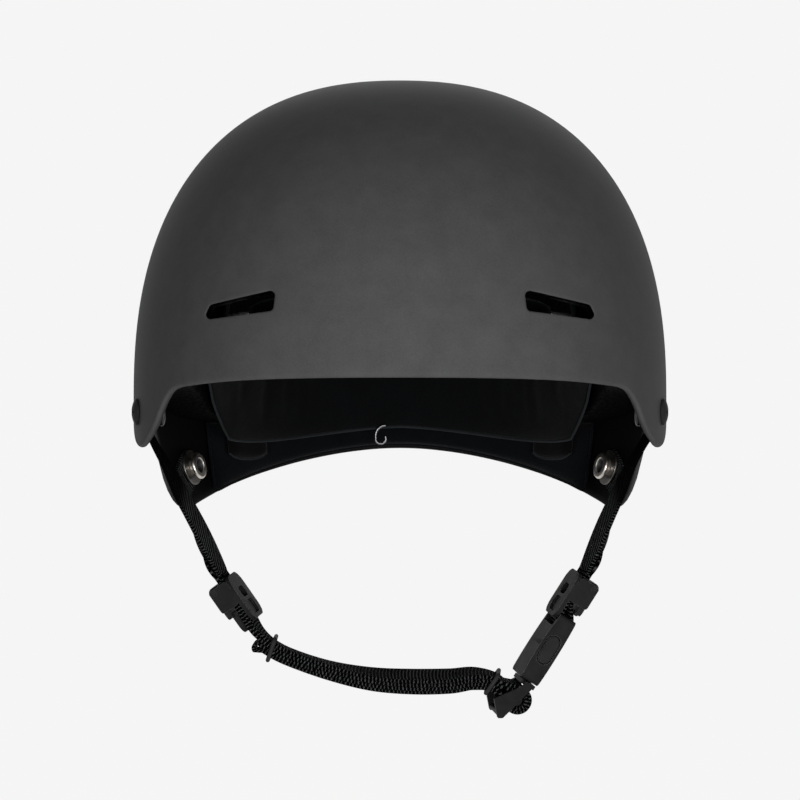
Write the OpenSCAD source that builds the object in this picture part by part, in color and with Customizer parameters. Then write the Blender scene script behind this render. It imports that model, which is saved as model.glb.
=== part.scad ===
// Skate helmet: moulded shell, foam liner, comfort pads and a webbing harness with a side-release buckle.
// +Z is up, the brow faces -Y and the wearer's left is +X.
// The origin lies at the brow edge's height, in the middle of the head.

/* [Shell] */
// Width over the shell at its widest
shell_w = 215; // [205:1:225]
// Length over the shell
shell_l = 264; // [254:1:276]
// Height of the crown above the brow edge
crown_h = 120.3; // [114:0.1:130]
// Depth of the widest line below the brow edge
girth_drop = 8.3; // [7:0.1:10]
// Thickness of the moulded shell
shell_t = 3; // [2.5:0.25:3.5]
// Roundness of the shell seen from above, where 2 is an ellipse
plan_power = 2.2; // [2.1:0.05:2.4]
// Roundness of the shell seen from the front, where 2 is an ellipse
front_power = 2.4; // [2.3:0.02:2.6]
// Share of the half width by which the skirt draws in at the rear corners
skirt_draw = 0.065; // [0.04:0.005:0.08]

/* [Shell edge, depths below the brow edge] */
// Depth of the temple tab that carries the front anchor
tab_drop = 27; // [25:0.5:31]
// Depth of the top of the ear arch
ear_drop = 9; // [7:0.5:12]
// Depth of the rear corner that carries the rear anchor
corner_drop = 54; // [51:0.5:58]
// Depth of the nape edge at the middle
nape_drop = 29.5; // [27:0.5:33]

/* [Vents] */
// Distance of a vent's inner end from the middle plane
vent_in = 47.5; // [42:0.5:52]
// Distance of a vent's outer end from the middle plane
vent_out = 75; // [70:0.5:79]
// Height of the middle of a vent above the brow edge
vent_z = 27; // [24:0.5:32]
// Height of the slot at its inner end
vent_h = 8; // [6:0.5:9]
// Radius of the slot's corners
vent_r = 1.8; // [1:0.1:2.4]

/* [Liner and pads] */
// Thickness of the foam liner
liner_t = 20; // [17:0.5:23]
// Height of the crown pad
crown_pad_t = 8; // [6:0.5:10]
// Thickness of the brow, side and rear pads
pad_t = 6; // [5:0.5:8]
// Thickness of the nape pad
nape_pad_t = 7; // [5:0.5:8]
// Diameter of a hook disc that holds a pad
disc_d = 14; // [10:1:16]

/* [Anchors] */
// Diameter of an anchor screw's head
head_d = 10.4; // [9:0.2:12]
// Diameter of an anchor washer
washer_d = 15; // [13.5:0.5:15.5]
// Radius of an anchor screw's shank
shank_r = 2.4; // [2:0.1:2.6]
// Wall of a barrel nut around the shank
barrel_wall = 0.8; // [0.6:0.1:1]
// Height of the front anchor above the brow edge
front_anchor_z = -13; // [-14:0.5:-12]
// Height of the rear anchor above the brow edge
rear_anchor_z = -38; // [-39:0.5:-36]

/* [Webbing] */
// Width of the webbing
web_w = 15; // [13:0.5:16]
// Thickness of the webbing
web_t = 1.5; // [1.2:0.1:1.6]
// Turn of the harness about its own line, which shows its upper face from the front
harness_twist = 10; // [6:1:14]

/* [Dividers] */
// Width of a divider across the webbing
divider_w = 21; // [20.5:0.5:24]
// Thickness of a divider's inner plate
plate_t = 1.8; // [1.6:0.1:2.2]
// Radius of the lever's pivot pin
pivot_r = 1.2; // [1:0.1:1.4]

/* [Buckle] */
// Length of the buckle's socket
socket_l = 30; // [29:0.5:33]
// Width of the buckle's socket
socket_w = 20.4; // [20:0.2:23]
// Thickness of the buckle's socket
socket_t = 8; // [7.8:0.1:9]
// Wall of the socket over the plug
socket_wall = 1.05; // [0.9:0.05:1.2]
// Length of the thumb pad on each prong
thumb_l = 12; // [10:0.5:13]
// Radius of the plug's adjusting bar
bar_r = 2.2; // [1.8:0.1:2.4]

/* [Keepers] */
// Radius of a keeper ring's round section
keeper_r = 0.85; // [0.7:0.05:1]

/* [Hidden] */
$fn = 48;

// Clearances
seat_gap = 0.3;          // soft piece to what carries it
foam_gap = 0.6;          // foam to shell, whose facets stand in by up to 0.4
run_gap = 0.35;          // webbing to plastic
pin_gap = 0.06;          // pin in its hole
layer_gap = 0.08;        // between two layers of webbing

// Shell surface
half_w = shell_w / 2;
half_l = shell_l / 2;
girth_z = -girth_drop;
dome_h = crown_h + girth_drop;
skirt_step = 1.9;                       // millimetres of skirt for a degree of bend past 90
skirt_ref = corner_drop - girth_drop;   // skirt depth at which the draw is full
nape_tuck = 0.8;                        // extra draw at the middle of the nape
liner_inset = shell_t + foam_gap;
cavity_inset = liner_inset + liner_t;
disc_t = 0.8;
disc_sink = 0.3;                        // depth of a disc's back below the cavity's smooth wall
pad_inset = cavity_inset + disc_t + 0.3;

function unit(v) = v / norm(v);
function keep(x, low, high) = min(high, max(low, x));
function smooth(x) = let (t = keep(x, 0, 1)) t * t * (3 - 2 * t);
function signed_pow(x, e) = sign(x) * pow(abs(x), e);
function mix(a, b, t) = a + (b - a) * t;

// A smooth curve through [x, value] pairs
function slope_at(p, i) =
    i == 0 || i == len(p) - 1 ? p[0][1] * 0 : (p[i + 1][1] - p[i - 1][1]) / (p[i + 1][0] - p[i - 1][0]);
function curve_at(p, x) =
    let (i = max([0, for (k = [0:len(p) - 2]) if (x >= p[k][0]) k]),
         h = p[i + 1][0] - p[i][0], t = keep((x - p[i][0]) / h, 0, 1), u = 1 - t)
    p[i][1] * (1 + 2 * t) * u * u + slope_at(p, i) * h * t * u * u
    + p[i + 1][1] * (3 - 2 * t) * t * t - slope_at(p, i + 1) * h * t * t * u;

// Latitude runs from -90 at the brow over 0 at the side to 90 at the nape
function latitude(phi) = asin(keep(sin(phi), -1, 1));
function ear_to_corner(share) = -ear_drop - share * (corner_drop - ear_drop);
function corner_to_nape(share) = -nape_drop - share * (corner_drop - nape_drop);
shell_edge = [
    [-90, 0], [-62, -0.026 * tab_drop], [-44, -0.1 * tab_drop], [-37, -0.17 * tab_drop],
    [-33, -0.36 * tab_drop], [-29, -0.65 * tab_drop], [-24, -0.87 * tab_drop], [-18, -tab_drop],
    [-11, -0.89 * tab_drop], [-3, -ear_drop - 0.25 * (tab_drop - ear_drop)], [5, -ear_drop],
    [11, ear_to_corner(0.1)], [15.5, ear_to_corner(0.3)], [18.5, ear_to_corner(0.55)],
    [20.5, ear_to_corner(0.79)], [23, ear_to_corner(0.95)], [26.5, -corner_drop],
    [33, corner_to_nape(0.9)], [46.5, corner_to_nape(0.62)], [56.5, corner_to_nape(0.42)],
    [68.5, corner_to_nape(0.21)], [80, corner_to_nape(0.06)], [90, -nape_drop]];
liner_lift = 4;                         // foam edge above the shell edge at the brow
liner_low = -17;                        // foam edge at the nape
liner_edge = [
    [-90, liner_lift], [-44, liner_lift - 2.5], [-33, 0], [-18, -2.5], [-3, -3.5],
    [5, -ear_drop + 4], [13, -ear_drop + 1], [22, liner_low + 3], [33, liner_low], [90, liner_low]];

function draw(phi) = let (lat = latitude(phi))
    skirt_draw * smooth((lat - 5) / 25) * (1 + nape_tuck * smooth((lat - 40) / 40));
function bend(z, inset) = z > girth_z
    ? acos(pow(min(1, (z - girth_z) / (dome_h - inset)), front_power / 2))
    : 90 + (girth_z - z) / skirt_step;
function skin_at(phi, bent, inset) =
    let (skirt = max(0, bent - 90) * skirt_step,
         r = bent <= 90 ? pow(sin(bent), 2 / front_power) : 1 - draw(phi) * pow(skirt / skirt_ref, 2),
         z = bent <= 90 ? girth_z + (dome_h - inset) * pow(cos(bent), 2 / front_power) : girth_z - skirt)
    [(half_w - inset) * r * signed_pow(cos(phi), 2 / plan_power),
     (half_l - inset) * r * signed_pow(sin(phi), 2 / plan_power), z];
function normal_at(phi, bent) =
    unit(cross(skin_at(phi, bent + 0.5, 0) - skin_at(phi, bent - 0.5, 0),
               skin_at(phi + 0.5, bent, 0) - skin_at(phi - 0.5, bent, 0)));

// Azimuths for the shell: close together at the sides, where the edge is busy
function azimuths(side_step, end_step) = concat(
    [for (a = [-45:side_step:44.9]) a], [for (a = [45:end_step:134.9]) a],
    [for (a = [135:side_step:224.9]) a], [for (a = [225:end_step:314.9]) a]);

// Faces of a stack of closed rings, where ring k holds n points from index k * n
function ring_faces(n, rings, flip) = [for (k = [0:rings - 2]) for (i = [0:n - 1])
    let (a = k * n + i, b = k * n + (i + 1) % n, c = a + n, d = b + n)
    each flip ? [[a, c, b], [b, c, d]] : [[a, b, c], [b, d, c]]];
function fan_faces(n, first, tip, flip) = [for (i = [0:n - 1])
    let (a = first + i, b = first + (i + 1) % n) flip ? [tip, b, a] : [tip, a, b]];

// A domed layer between two insets, from the crown down to edge bends that differ by azimuth
module dome_layer(around, edge_out, edge_in, out_inset, in_inset, rings) {
    n = len(around);
    outer = [for (k = [1:rings]) for (i = [0:n - 1])
        skin_at(around[i], edge_out[i] * k / rings, out_inset)];
    inner = [for (k = [rings:-1:1]) for (i = [0:n - 1])
        skin_at(around[i], edge_in[i] * k / rings, in_inset)];
    tips = [skin_at(0, 0, out_inset), skin_at(0, 0, in_inset)];
    last = 2 * rings * n;
    polyhedron(concat(outer, inner, tips),
        concat(ring_faces(n, 2 * rings, false), fan_faces(n, 0, last, true),
               fan_faces(n, last - n, last + 1, false)));
}

// A pad over a curved wall. The function spot(u, v, h) gives its points for u and v from -1 to 1,
// with h = 0 at its back and h = 1 on its face. Points lie closer together towards its edges.
module pillow(across, down, spot) {
    rows = down + 1;
    n = (across + 1) * rows;
    function place_of(k, count) = sin(180 * k / count - 90);
    points = [for (h = [0, 1]) for (i = [0:across]) for (j = [0:down])
        spot(place_of(i, across), place_of(j, down), h)];
    function quad(a, b, c, d) = [[a, b, c], [a, c, d]];
    ends = [for (j = [0:down - 1]) let (a = n - rows + j)
        each concat(quad(j, j + 1, n + j + 1, n + j), quad(a + 1, a, n + a, n + a + 1))];
    long_edges = [for (i = [0:across - 1]) let (a = i * rows, b = (i + 1) * rows - 1)
        each concat(quad(a + rows, a, n + a, n + a + rows), quad(b, b + rows, n + b + rows, n + b))];
    walls = [for (i = [0:across - 1]) for (j = [0:down - 1]) let (a = i * rows + j)
        each concat(quad(a, a + rows, a + rows + 1, a + 1),
                    quad(n + a + rows, n + a, n + a + 1, n + a + rows + 1))];
    polyhedron(points, concat(ends, long_edges, walls));
}

// A crowned pad on the cavity wall between two azimuths and two heights, whose foot sags and draws in
// at both ends, with rounder corners for a lower corner power
module wall_pad(mid, reach, z_low, z_high, inset, thick, across, down, sag = 0, narrow = 0, corner = 7) {
    high = bend(z_high, inset);
    function lift(u, v) = thick * (0.45 + 0.55 * (1 - pow(abs(u), 8)) * (1 - pow(abs(v), 4)));
    function spread(u) = 1 - 0.4 * pow(abs(u), corner);
    pillow(across, down, function (u, v, h) let (low = bend(z_low - sag * pow(abs(u), 1.4), inset))
        skin_at(mid + reach * (1 - narrow * (1 + v) / 2) * u,
            (low + high) / 2 + (low - high) / 2 * v * spread(u), inset + h * lift(u, v)));
}

// Corner points of a polygon rounded with arcs
function corner_arc(a, b, c, r) =
    let (u = unit(a - b), v = unit(c - b), half = acos(keep(u * v, -1, 1)) / 2,
         middle = b + unit(u + v) * r / sin(half), from = b + u * r / tan(half), to = b + v * r / tan(half))
    half > 89 ? [b] : [for (k = [0:4]) middle + r * unit(mix(from, to, k / 4) - middle)];
function rounded(points, r) = let (n = len(points))
    [for (i = [0:n - 1]) each corner_arc(points[(i + n - 1) % n], points[i], points[(i + 1) % n], r)];

// A plate in the YZ plane with round corners, from x0 to x1
module plate(x0, x1, width, z0, z1, r) {
    translate([x0, 0, 0]) rotate([90, 0, 90]) linear_extrude(x1 - x0)
        polygon(rounded([[-width / 2, z0], [width / 2, z0], [width / 2, z1], [-width / 2, z1]], r));
}

// An outline in the XZ plane, given a thickness along Y that is centred on y
module side_profile(outline, y, thick) {
    translate([0, y + thick / 2, 0]) rotate([90, 0, 0]) linear_extrude(thick) polygon(outline);
}
module cross_bar(x, z, r, half) {
    translate([x, half, z]) rotate([90, 0, 0]) cylinder(r = r, h = 2 * half);
}
module block(x0, x1, y0, y1, z0, z1) {
    translate([x0, y0, z0]) cube([x1 - x0, y1 - y0, z1 - z0]);
}

// Shell
module vent_cut(back) {
    tilt = 2.1;
    outline = rounded([[vent_in, vent_z + tilt - vent_h / 2], [vent_out, vent_z - tilt - vent_h * 0.37],
        [vent_out - 3, vent_z - tilt + vent_h * 0.37], [vent_in - 1, vent_z + tilt + vent_h / 2]], vent_r);
    for (side = [-1, 1])
        mirror([side < 0 ? 1 : 0, 0, 0]) rotate([90, 0, 0])
            translate([0, 0, back ? -half_l - 2 : 45]) linear_extrude(half_l - 43) polygon(outline);
}
front_lat = -16.5;
rear_lat = 28;
function anchor_phi(side, rear) = let (lat = rear ? rear_lat : front_lat) side > 0 ? lat : 180 - lat;
function anchor_z(rear) = rear ? rear_anchor_z : front_anchor_z;
function anchor_spot(side, rear) = skin_at(anchor_phi(side, rear), bend(anchor_z(rear), 0), 0);
function anchor_out(side, rear) = normal_at(anchor_phi(side, rear), bend(anchor_z(rear), 0));
module at_anchor(side, rear) {
    out = anchor_out(side, rear);
    translate(anchor_spot(side, rear)) rotate([0, acos(out.z), atan2(out.y, out.x)]) children();
}
module shell() {
    around = azimuths(3, 6);
    bends = [for (a = around) bend(curve_at(shell_edge, latitude(a)), 0)];
    inner_bends = [for (a = around) bend(curve_at(shell_edge, latitude(a)), shell_t)];
    color("#2c2c2d") difference() {
        dome_layer(around, bends, inner_bends, 0, shell_t, 14);
        vent_cut(false);
        vent_cut(true);
        for (side = [-1, 1]) for (rear = [false, true])
            at_anchor(side, rear) cylinder(r = shank_r + 0.4, h = 4 * shell_t, center = true);
    }
}

// Liner
module foam_liner() {
    around = azimuths(5, 7.5);
    function edge(inset) = [for (a = around) bend(curve_at(liner_edge, latitude(a)), inset)];
    color("#1b1b1c") difference() {
        dome_layer(around, edge(liner_inset), edge(cavity_inset), liner_inset, cavity_inset, 12);
        vent_cut(false);
        vent_cut(true);
        at_discs() translate([0, 0, -3]) cylinder(d = disc_d + 0.6, h = 3.1);
    }
}

// Comfort pads
brow_reach = 46;                        // half of a pad's angle about the head
rear_reach = 87;
side_reach = 13;
side_lat = -18;                         // latitude of a side pad's middle
brow_pad_z = [8, 32];                   // heights of a pad's lower and upper edge
side_pad_z = [12, 44];
rear_pad_z = [liner_low - 3.5, 26];
rear_pad_sag = 16;
rear_pad_draw = 0.28;                   // share by which the rear pad is narrower along its foot
module brow_pad() {
    color("#16161a") wall_pad(270, brow_reach, brow_pad_z[0], brow_pad_z[1], pad_inset, pad_t, 18, 4);
}
module rear_pad() {
    color("#16161a") wall_pad(90, rear_reach, rear_pad_z[0], rear_pad_z[1], pad_inset, pad_t, 30, 6,
        rear_pad_sag, rear_pad_draw, 4);
}
module side_pad(side) {
    color("#16161a") wall_pad(side > 0 ? side_lat : 180 - side_lat, side_reach,
        side_pad_z[0], side_pad_z[1], pad_inset, pad_t, 8, 6);
}
crown_bend = 25;
module crown_pad() {
    around = [for (a = [0:15:345]) a];
    color("#16161a") dome_layer(around, [for (a = around) crown_bend],
        [for (a = around) crown_bend - 4], pad_inset, pad_inset + crown_pad_t, 4);
}
nape_inset = shell_t + foam_gap + 0.3;
nape_from = 37;
nape_across = 30;
spacer_t = 5;
spacer_turn = 43;                       // angle of a spacer pad from the middle of the nape
spacer_reach = 7;
spacer_z = [liner_low - 17, liner_low - 2];
module nape_pad() {
    function body(lat, v) =
        nape_pad_t * (0.55 + 0.45 * (1 - pow(abs(v), 3)) * smooth((lat - nape_from) / 6));
    color("#17181d") pillow(nape_across, 4, function (u, v, h)
        let (phi = 90 + (90 - nape_from) * u, lat = latitude(phi),
             top = liner_low - 0.6, foot = curve_at(shell_edge, lat) + 1.6)
        skin_at(phi, bend(mix(top, foot, (1 + v) / 2), 0), nape_inset + h * body(lat, v)));
}
module spacer_pad(side) {
    color("#17181d") wall_pad(90 - side * spacer_turn, spacer_reach, spacer_z[0], spacer_z[1],
        nape_inset + nape_pad_t + 0.6, spacer_t, 8, 4, 0, 0, 3);
}
crown_disc_bend = 13;
disc_spots = concat([for (phi = [240, 270, 300]) [phi, bend(20, cavity_inset)]],
    [for (phi = [45, 90, 135]) [phi, bend(4, cavity_inset)]],
    [for (phi = [side_lat, 180 - side_lat]) [phi, bend(28, cavity_inset)]],
    [for (phi = [0, 180]) [phi, crown_disc_bend]]);
module at_discs() {
    for (spot = disc_spots) {
        out = normal_at(spot[0], spot[1]);
        translate(skin_at(spot[0], spot[1], cavity_inset) + out * disc_sink)
            rotate([0, acos(out.z), atan2(out.y, out.x)]) children();
    }
}
module hook_discs() {
    color("#101012") at_discs() mirror([0, 0, 1]) cylinder(d = disc_d, h = disc_t);
}

// Anchor hardware, along the shell's outward normal
strap_in = shell_t + 0.75;              // outer face of a strap below the shell's outer surface
washer_in = strap_in + web_t + seat_gap;
washer_t = 1;
barrel_r = shank_r + pin_gap + barrel_wall;
barrel_end = washer_in + washer_t + 3.8;
flange_t = 1.7;
flange_r = barrel_r + 2.4;
module anchor_screw() {
    rim_t = 0.9;
    cap_r = 11;
    recess_l = 5.2;
    recess_w = 1.2;
    shank_end = washer_in + washer_t + 1;
    difference() {
        union() {
            translate([0, 0, 0.2]) cylinder(d = head_d, h = rim_t);
            translate([0, 0, 0.2]) intersection() {
                translate([0, 0, rim_t - sqrt(cap_r * cap_r - head_d * head_d / 4)]) sphere(r = cap_r);
                cylinder(d = head_d, h = 5);
            }
            translate([0, 0, -shank_end]) cylinder(r = shank_r, h = shank_end + 0.4);
        }
        for (turn = [0, 90])
            rotate([0, 0, turn]) block(-recess_l / 2, recess_l / 2, -recess_w / 2, recess_w / 2, 1.1, 4);
    }
}
module anchor_washer() {
    translate([0, 0, -washer_in - washer_t]) difference() {
        cylinder(d = washer_d, h = washer_t);
        translate([0, 0, -1]) cylinder(r = barrel_r + 0.25, h = washer_t + 2);
    }
}
module barrel_nut() {
    mouth_r = shank_r + 0.9;            // the bore flares at its open end
    difference() {
        union() {
            translate([0, 0, -barrel_end]) cylinder(r = barrel_r, h = barrel_end - shell_t - seat_gap);
            translate([0, 0, -barrel_end + flange_t / 2]) rotate_extrude() {
                square([flange_r - flange_t / 2, flange_t / 2]);
                translate([0, -flange_t / 2]) square([flange_r - flange_t / 2, flange_t / 2]);
                translate([flange_r - flange_t / 2, 0]) circle(d = flange_t);
            }
        }
        translate([0, 0, -barrel_end - 1]) cylinder(r = shank_r + pin_gap, h = barrel_end + 2);
        translate([0, 0, -barrel_end - 0.1]) cylinder(r1 = mouth_r + 0.1, r2 = shank_r, h = 1.6);
    }
}
module anchor_screws(rear) {
    color("#38383a") for (side = [-1, 1]) at_anchor(side, rear) anchor_screw();
}
module anchor_washers(rear) {
    color("#8f8a85") for (side = [-1, 1]) at_anchor(side, rear) anchor_washer();
}
module barrel_nuts(rear) {
    color("#a29d97") for (side = [-1, 1]) at_anchor(side, rear) barrel_nut();
}

// Harness frames: local X points away from the head, local Z up along the webbing
swing_at = [-97, 0, -10];               // line about which the released half of the harness swings
buckle_at = [58.6, 0, -108.3];
buckle_lean = atan2(swing_at.z - buckle_at.z, buckle_at.x - swing_at.x);
divider_low = -10.5;
divider_top = 10;
divider_rise = socket_l / 2 - divider_low - 2.6;
divider_lean_right = 35;
divider_right_at = [-67.5, 0, -90.3];
divider_left_at = buckle_at + divider_rise * up_dir(1, buckle_lean);
function divider_at(side) = side > 0 ? divider_left_at : divider_right_at;
function divider_lean(side) = side > 0 ? buckle_lean : divider_lean_right;
function out_dir(side, lean) =
    [side * cos(lean) * cos(harness_twist), sin(harness_twist), -sin(lean) * cos(harness_twist)];
function wide_dir(side, lean) =
    [-side * cos(lean) * sin(harness_twist), cos(harness_twist), sin(lean) * sin(harness_twist)];
function up_dir(side, lean) = [side * sin(lean), 0, cos(lean)];
function in_frame(side, at, lean, x, z) = at + x * out_dir(side, lean) + z * up_dir(side, lean);
module place(side, at, lean) {
    translate(at) mirror([side < 0 ? 1 : 0, 0, 0]) rotate([0, lean, 0]) rotate([0, 0, harness_twist])
        children();
}

// A strip of webbing through stations of [centre, width direction, normal], narrower over its first ones.
// Its faces are split the same way on either run of a layer, so that layers lying together don't cross.
module ribbon(stations, width, thick, starts = []) {
    n = len(stations);
    points = [for (i = [0:n - 1]) let (s = stations[i], share = i < len(starts) ? starts[i] : 1)
        for (c = [[-1, -1], [1, -1], [1, 1], [-1, 1]])
        s[0] + s[1] * c.x * share * width / 2 + s[2] * c.y * thick / 2];
    sides = [for (k = [0:n - 2]) let (onward = stations[k + 1][0].x > stations[k][0].x) for (i = [0:3])
        let (a = 4 * k + i, b = 4 * k + (i + 1) % 4, c = a + 4, d = b + 4)
        each (i > 1) == onward ? [[a, c, b], [b, c, d]] : [[a, c, d], [a, d, b]]];
    polyhedron(points, concat(sides, [[0, 1, 2], [0, 2, 3]],
        [for (f = [[2, 1, 0], [3, 2, 0]]) [for (k = f) 4 * (n - 1) + k]]));
}

// Stations along a smooth path, whose width direction is given at each point
function stations_of(path, wide) = let (n = len(path)) [for (i = [0:n - 1])
    let (along = unit(path[min(n - 1, i + 1)] - path[max(0, i - 1)]),
         w = unit(wide[i] - along * (wide[i] * along)))
    [path[i], w, cross(along, w)]];

// Straps from the anchors down to the dividers
stack = web_t + layer_gap;
socket_top_draw = 0.3;                  // how much thinner each side of the socket is at its upper end
plate_x = -(socket_t / 2 - socket_top_draw + run_gap + plate_t);
inner_layer_x = plate_x + plate_t + run_gap + web_t / 2;
outer_layer_x = inner_layer_x + stack;
strap_end_z = 6;
function bezier(a, b, c, d, t) = let (u = 1 - t)
    a * u * u * u + 3 * b * t * u * u + 3 * c * t * t * u + d * t * t * t;
function turned(v, axis, angle) =
    v * cos(angle) + cross(axis, v) * sin(angle) + axis * (axis * v) * (1 - cos(angle));
front_roll = -12;                       // turn of a strap about its own line
rear_roll = 20;
function roll_at(rear, t) = rear ? rear_roll * pow(sin(180 * pow(t, 1.2)), 2)
    : front_roll * smooth((t - 0.2) / 0.25) * smooth((1 - t) / 0.4);
module yoke_strap(side, rear) {
    out = anchor_out(side, rear);
    start = anchor_spot(side, rear) - out * (strap_in + web_t / 2);
    lean = divider_lean(side);
    layer_x = rear ? outer_layer_x : inner_layer_x;
    end = in_frame(side, divider_at(side), lean, layer_x, strap_end_z);
    mouth = in_frame(side, divider_at(side), lean, layer_x, divider_top + 2);
    up = up_dir(side, lean);
    apart = rear ? 1.1 * out_dir(side, lean) : [side > 0 ? -1 : 2, 0, 0];
    slack = rear ? [0, 0, 0] : [side > 0 ? -6.5 : 3, 0, 0];
    pull = mouth + up * 10 - start;
    lead = unit(pull - out * (pull * out));
    free = start + lead * (washer_d / 2 + 0.5);
    steps = 22;
    hang = [for (k = [0:steps])
        bezier(free, free + lead * 8 + slack, mouth + up * 6 + apart, mouth, k / steps)];
    held = [for (d = [-washer_d / 2 - 0.2, -washer_d / 2 + 1.2, -washer_d / 2 + 4, 0, 4]) start + lead * d];
    path = concat(held, hang, [end]);
    wide_top = unit(cross(lead, out)) * (cross(lead, out).y < 0 ? -1 : 1);
    wide_end = wide_dir(side, lean);
    wide = [for (i = [0:len(path) - 1]) let (t = keep((i - len(held)) / steps, 0, 1),
        along = unit(path[min(len(path) - 1, i + 1)] - path[max(0, i - 1)]))
        turned(mix(wide_top, wide_end, smooth((t - 0.4) / 0.6)), along, side * roll_at(rear, t))];
    difference() {
        ribbon(stations_of(path, wide), web_w, web_t, [0.5, 0.75, 0.95]);
        at_anchor(side, rear) cylinder(r = barrel_r + 0.3, h = 30, center = true);
    }
}

// Divider: a frame with an inner plate and two cheeks, and a lever that clamps the webbing
cheek_t = 2;
cheek_x = 4.2;
hinge_x = 2.5;
hinge_z = 7.6;
lever_barrel_r = 2.2;
long_tongue = [0.5, -12.8];             // inner face and end of a lever's tongue
short_tongue = [hinge_x - 0.7, -5.8];
module divider_frame() {
    difference() {
        union() {
            plate(plate_x, plate_x + plate_t, divider_w, divider_low, divider_top, 5);
            for (y = [-1, 1])
                side_profile(rounded([[plate_x + plate_t - 0.6, -1.5], [cheek_x, -1.5],
                    [cheek_x, divider_top - 1], [plate_x + plate_t - 0.6, divider_top - 1]], 1.2),
                    y * (divider_w - cheek_t) / 2, cheek_t);
        }
        cross_bar(hinge_x, hinge_z, pivot_r + pin_gap, divider_w);
        translate([0, 0, 1.6]) plate(plate_x - 1, plate_x + plate_t + 1, 9, -2.4, 2.4, 2.2);
        plate(plate_x - 1, plate_x + 0.8, 11, divider_low + 1.8, -2.2, 2.4);
    }
}
tongue_w = 9.6;
tongue_t = 2.4;
module divider_lever(tongue) {
    tip_x = tongue[0];
    tip_z = tongue[1];
    lever_w = divider_w - 2 * cheek_t - 0.8;
    cross_bar(hinge_x, hinge_z, lever_barrel_r, lever_w / 2);
    cross_bar(hinge_x, hinge_z, pivot_r, divider_w / 2 - 0.4);
    plate(hinge_x - 0.7, cheek_x - 0.1, lever_w, -5, hinge_z, 2);
    intersection() {
        side_profile(rounded([[hinge_x - 0.7, -1], [hinge_x - 0.7, -3], [tip_x, -5], [tip_x, tip_z],
            [tip_x + tongue_t, tip_z], [tip_x + tongue_t, -4.4], [cheek_x - 0.1, -2],
            [cheek_x - 0.1, -1]], 0.3), 0, tongue_w);
        plate(tip_x - 1, cheek_x + 1, tongue_w, tip_z, 4, tongue_w / 2 - 1);
    }
}

// Buckle socket, plug and prongs
socket_top = socket_l / 2;
cavity_x = socket_t / 2 - socket_wall;
cavity_y = socket_w / 2 - 1.7;
window_x = cavity_x + 0.2;
body_top = socket_top - 5.8;
sewn_bar_r = 1.7;
sewn_bar_z = socket_top - 1.6;
module stadium_bar(x_half, z_low, z_high, y0, y1) {
    block(-x_half, x_half, y0, y1, z_low + x_half, z_high - x_half);
    for (z = [z_low + x_half, z_high - x_half])
        translate([0, y1, z]) rotate([90, 0, 0]) cylinder(r = x_half, h = y1 - y0);
}
module buckle_socket() {
    belly = 0.6;                        // how far the broad faces swell on each side
    waist = 0.7;                        // how far the edges draw in on each side
    steps = 12;
    function half_t_at(u) = socket_t / 2 + belly * sin(180 * u) - socket_top_draw * u;
    function half_w_at(u) = socket_w / 2 - waist * pow(sin(180 * u), 2);
    function z_at(u) = -socket_top + u * socket_l;
    profile = concat([for (k = [0:steps]) let (u = k / steps) [half_t_at(u), z_at(u)]],
        [for (k = [steps:-1:0]) let (u = k / steps) [-half_t_at(u), z_at(u)]]);
    outline = concat([for (k = [0:steps]) let (u = k / steps) [half_w_at(u), z_at(u)]],
        [for (k = [steps:-1:0]) let (u = k / steps) [-half_w_at(u), z_at(u)]]);
    color("#303031") difference() {
        intersection() {
            side_profile(profile, 0, socket_w);
            plate(-socket_t, socket_t, socket_w, -socket_top, socket_top, 1.6);
            translate([-socket_t, 0, 0]) rotate([90, 0, 90]) linear_extrude(2 * socket_t) polygon(outline);
        }
        block(-cavity_x, cavity_x, -cavity_y, cavity_y, -socket_top - 1, body_top - 2);
        difference() {
            block(-socket_t, socket_t, -cavity_y + 0.2, cavity_y - 0.2, body_top, socket_top + 1);
            cross_bar(0, sewn_bar_z, sewn_bar_r, cavity_y + 1);
        }
        stadium_bar(window_x, -thumb_l / 2 - 0.5, thumb_l / 2 + 0.5, -socket_w, socket_w);
    }
}
neck_z = -socket_top - 0.5;
bar_x = 0;
bar_z = neck_z - 8.5;
plug_cheek_t = 2;
loop_x = 1;
turn_r = bar_r + 0.55 + web_t / 2 + stack / 2;
plug_half_w = divider_w / 2 - 0.1;
guide_y = 1.6;
prong_y = 5.6;
prong_t = 2;
prong_root_z = neck_z + 1.3;
module buckle_plug() {
    wedge = rounded([[3, neck_z], [-1.2, neck_z - 17.6], [-2.9, neck_z - 18.7], [-8.5, neck_z - 12.8],
        [-1, neck_z - 2], [-1.6, neck_z]], 0.6);
    color("#303031") {
        for (y = [-1, 1]) side_profile(wedge, y * (plug_half_w - plug_cheek_t / 2), plug_cheek_t);
        block(-1.4, 3.6, -plug_half_w + 1, plug_half_w - 1, neck_z - 1.7, neck_z);
        block(-cavity_x + 0.6, 3.6, -cavity_y + 0.7, cavity_y - 0.7, neck_z - 1.7, neck_z);
        block(-cavity_x + 0.6, cavity_x - 0.6, -guide_y, guide_y, neck_z - 1, 5);
        cross_bar(bar_x, bar_z, bar_r, plug_half_w - 1);
        cross_bar(-3, neck_z - 16.8, 1.2, plug_half_w - 1);
    }
}
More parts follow.
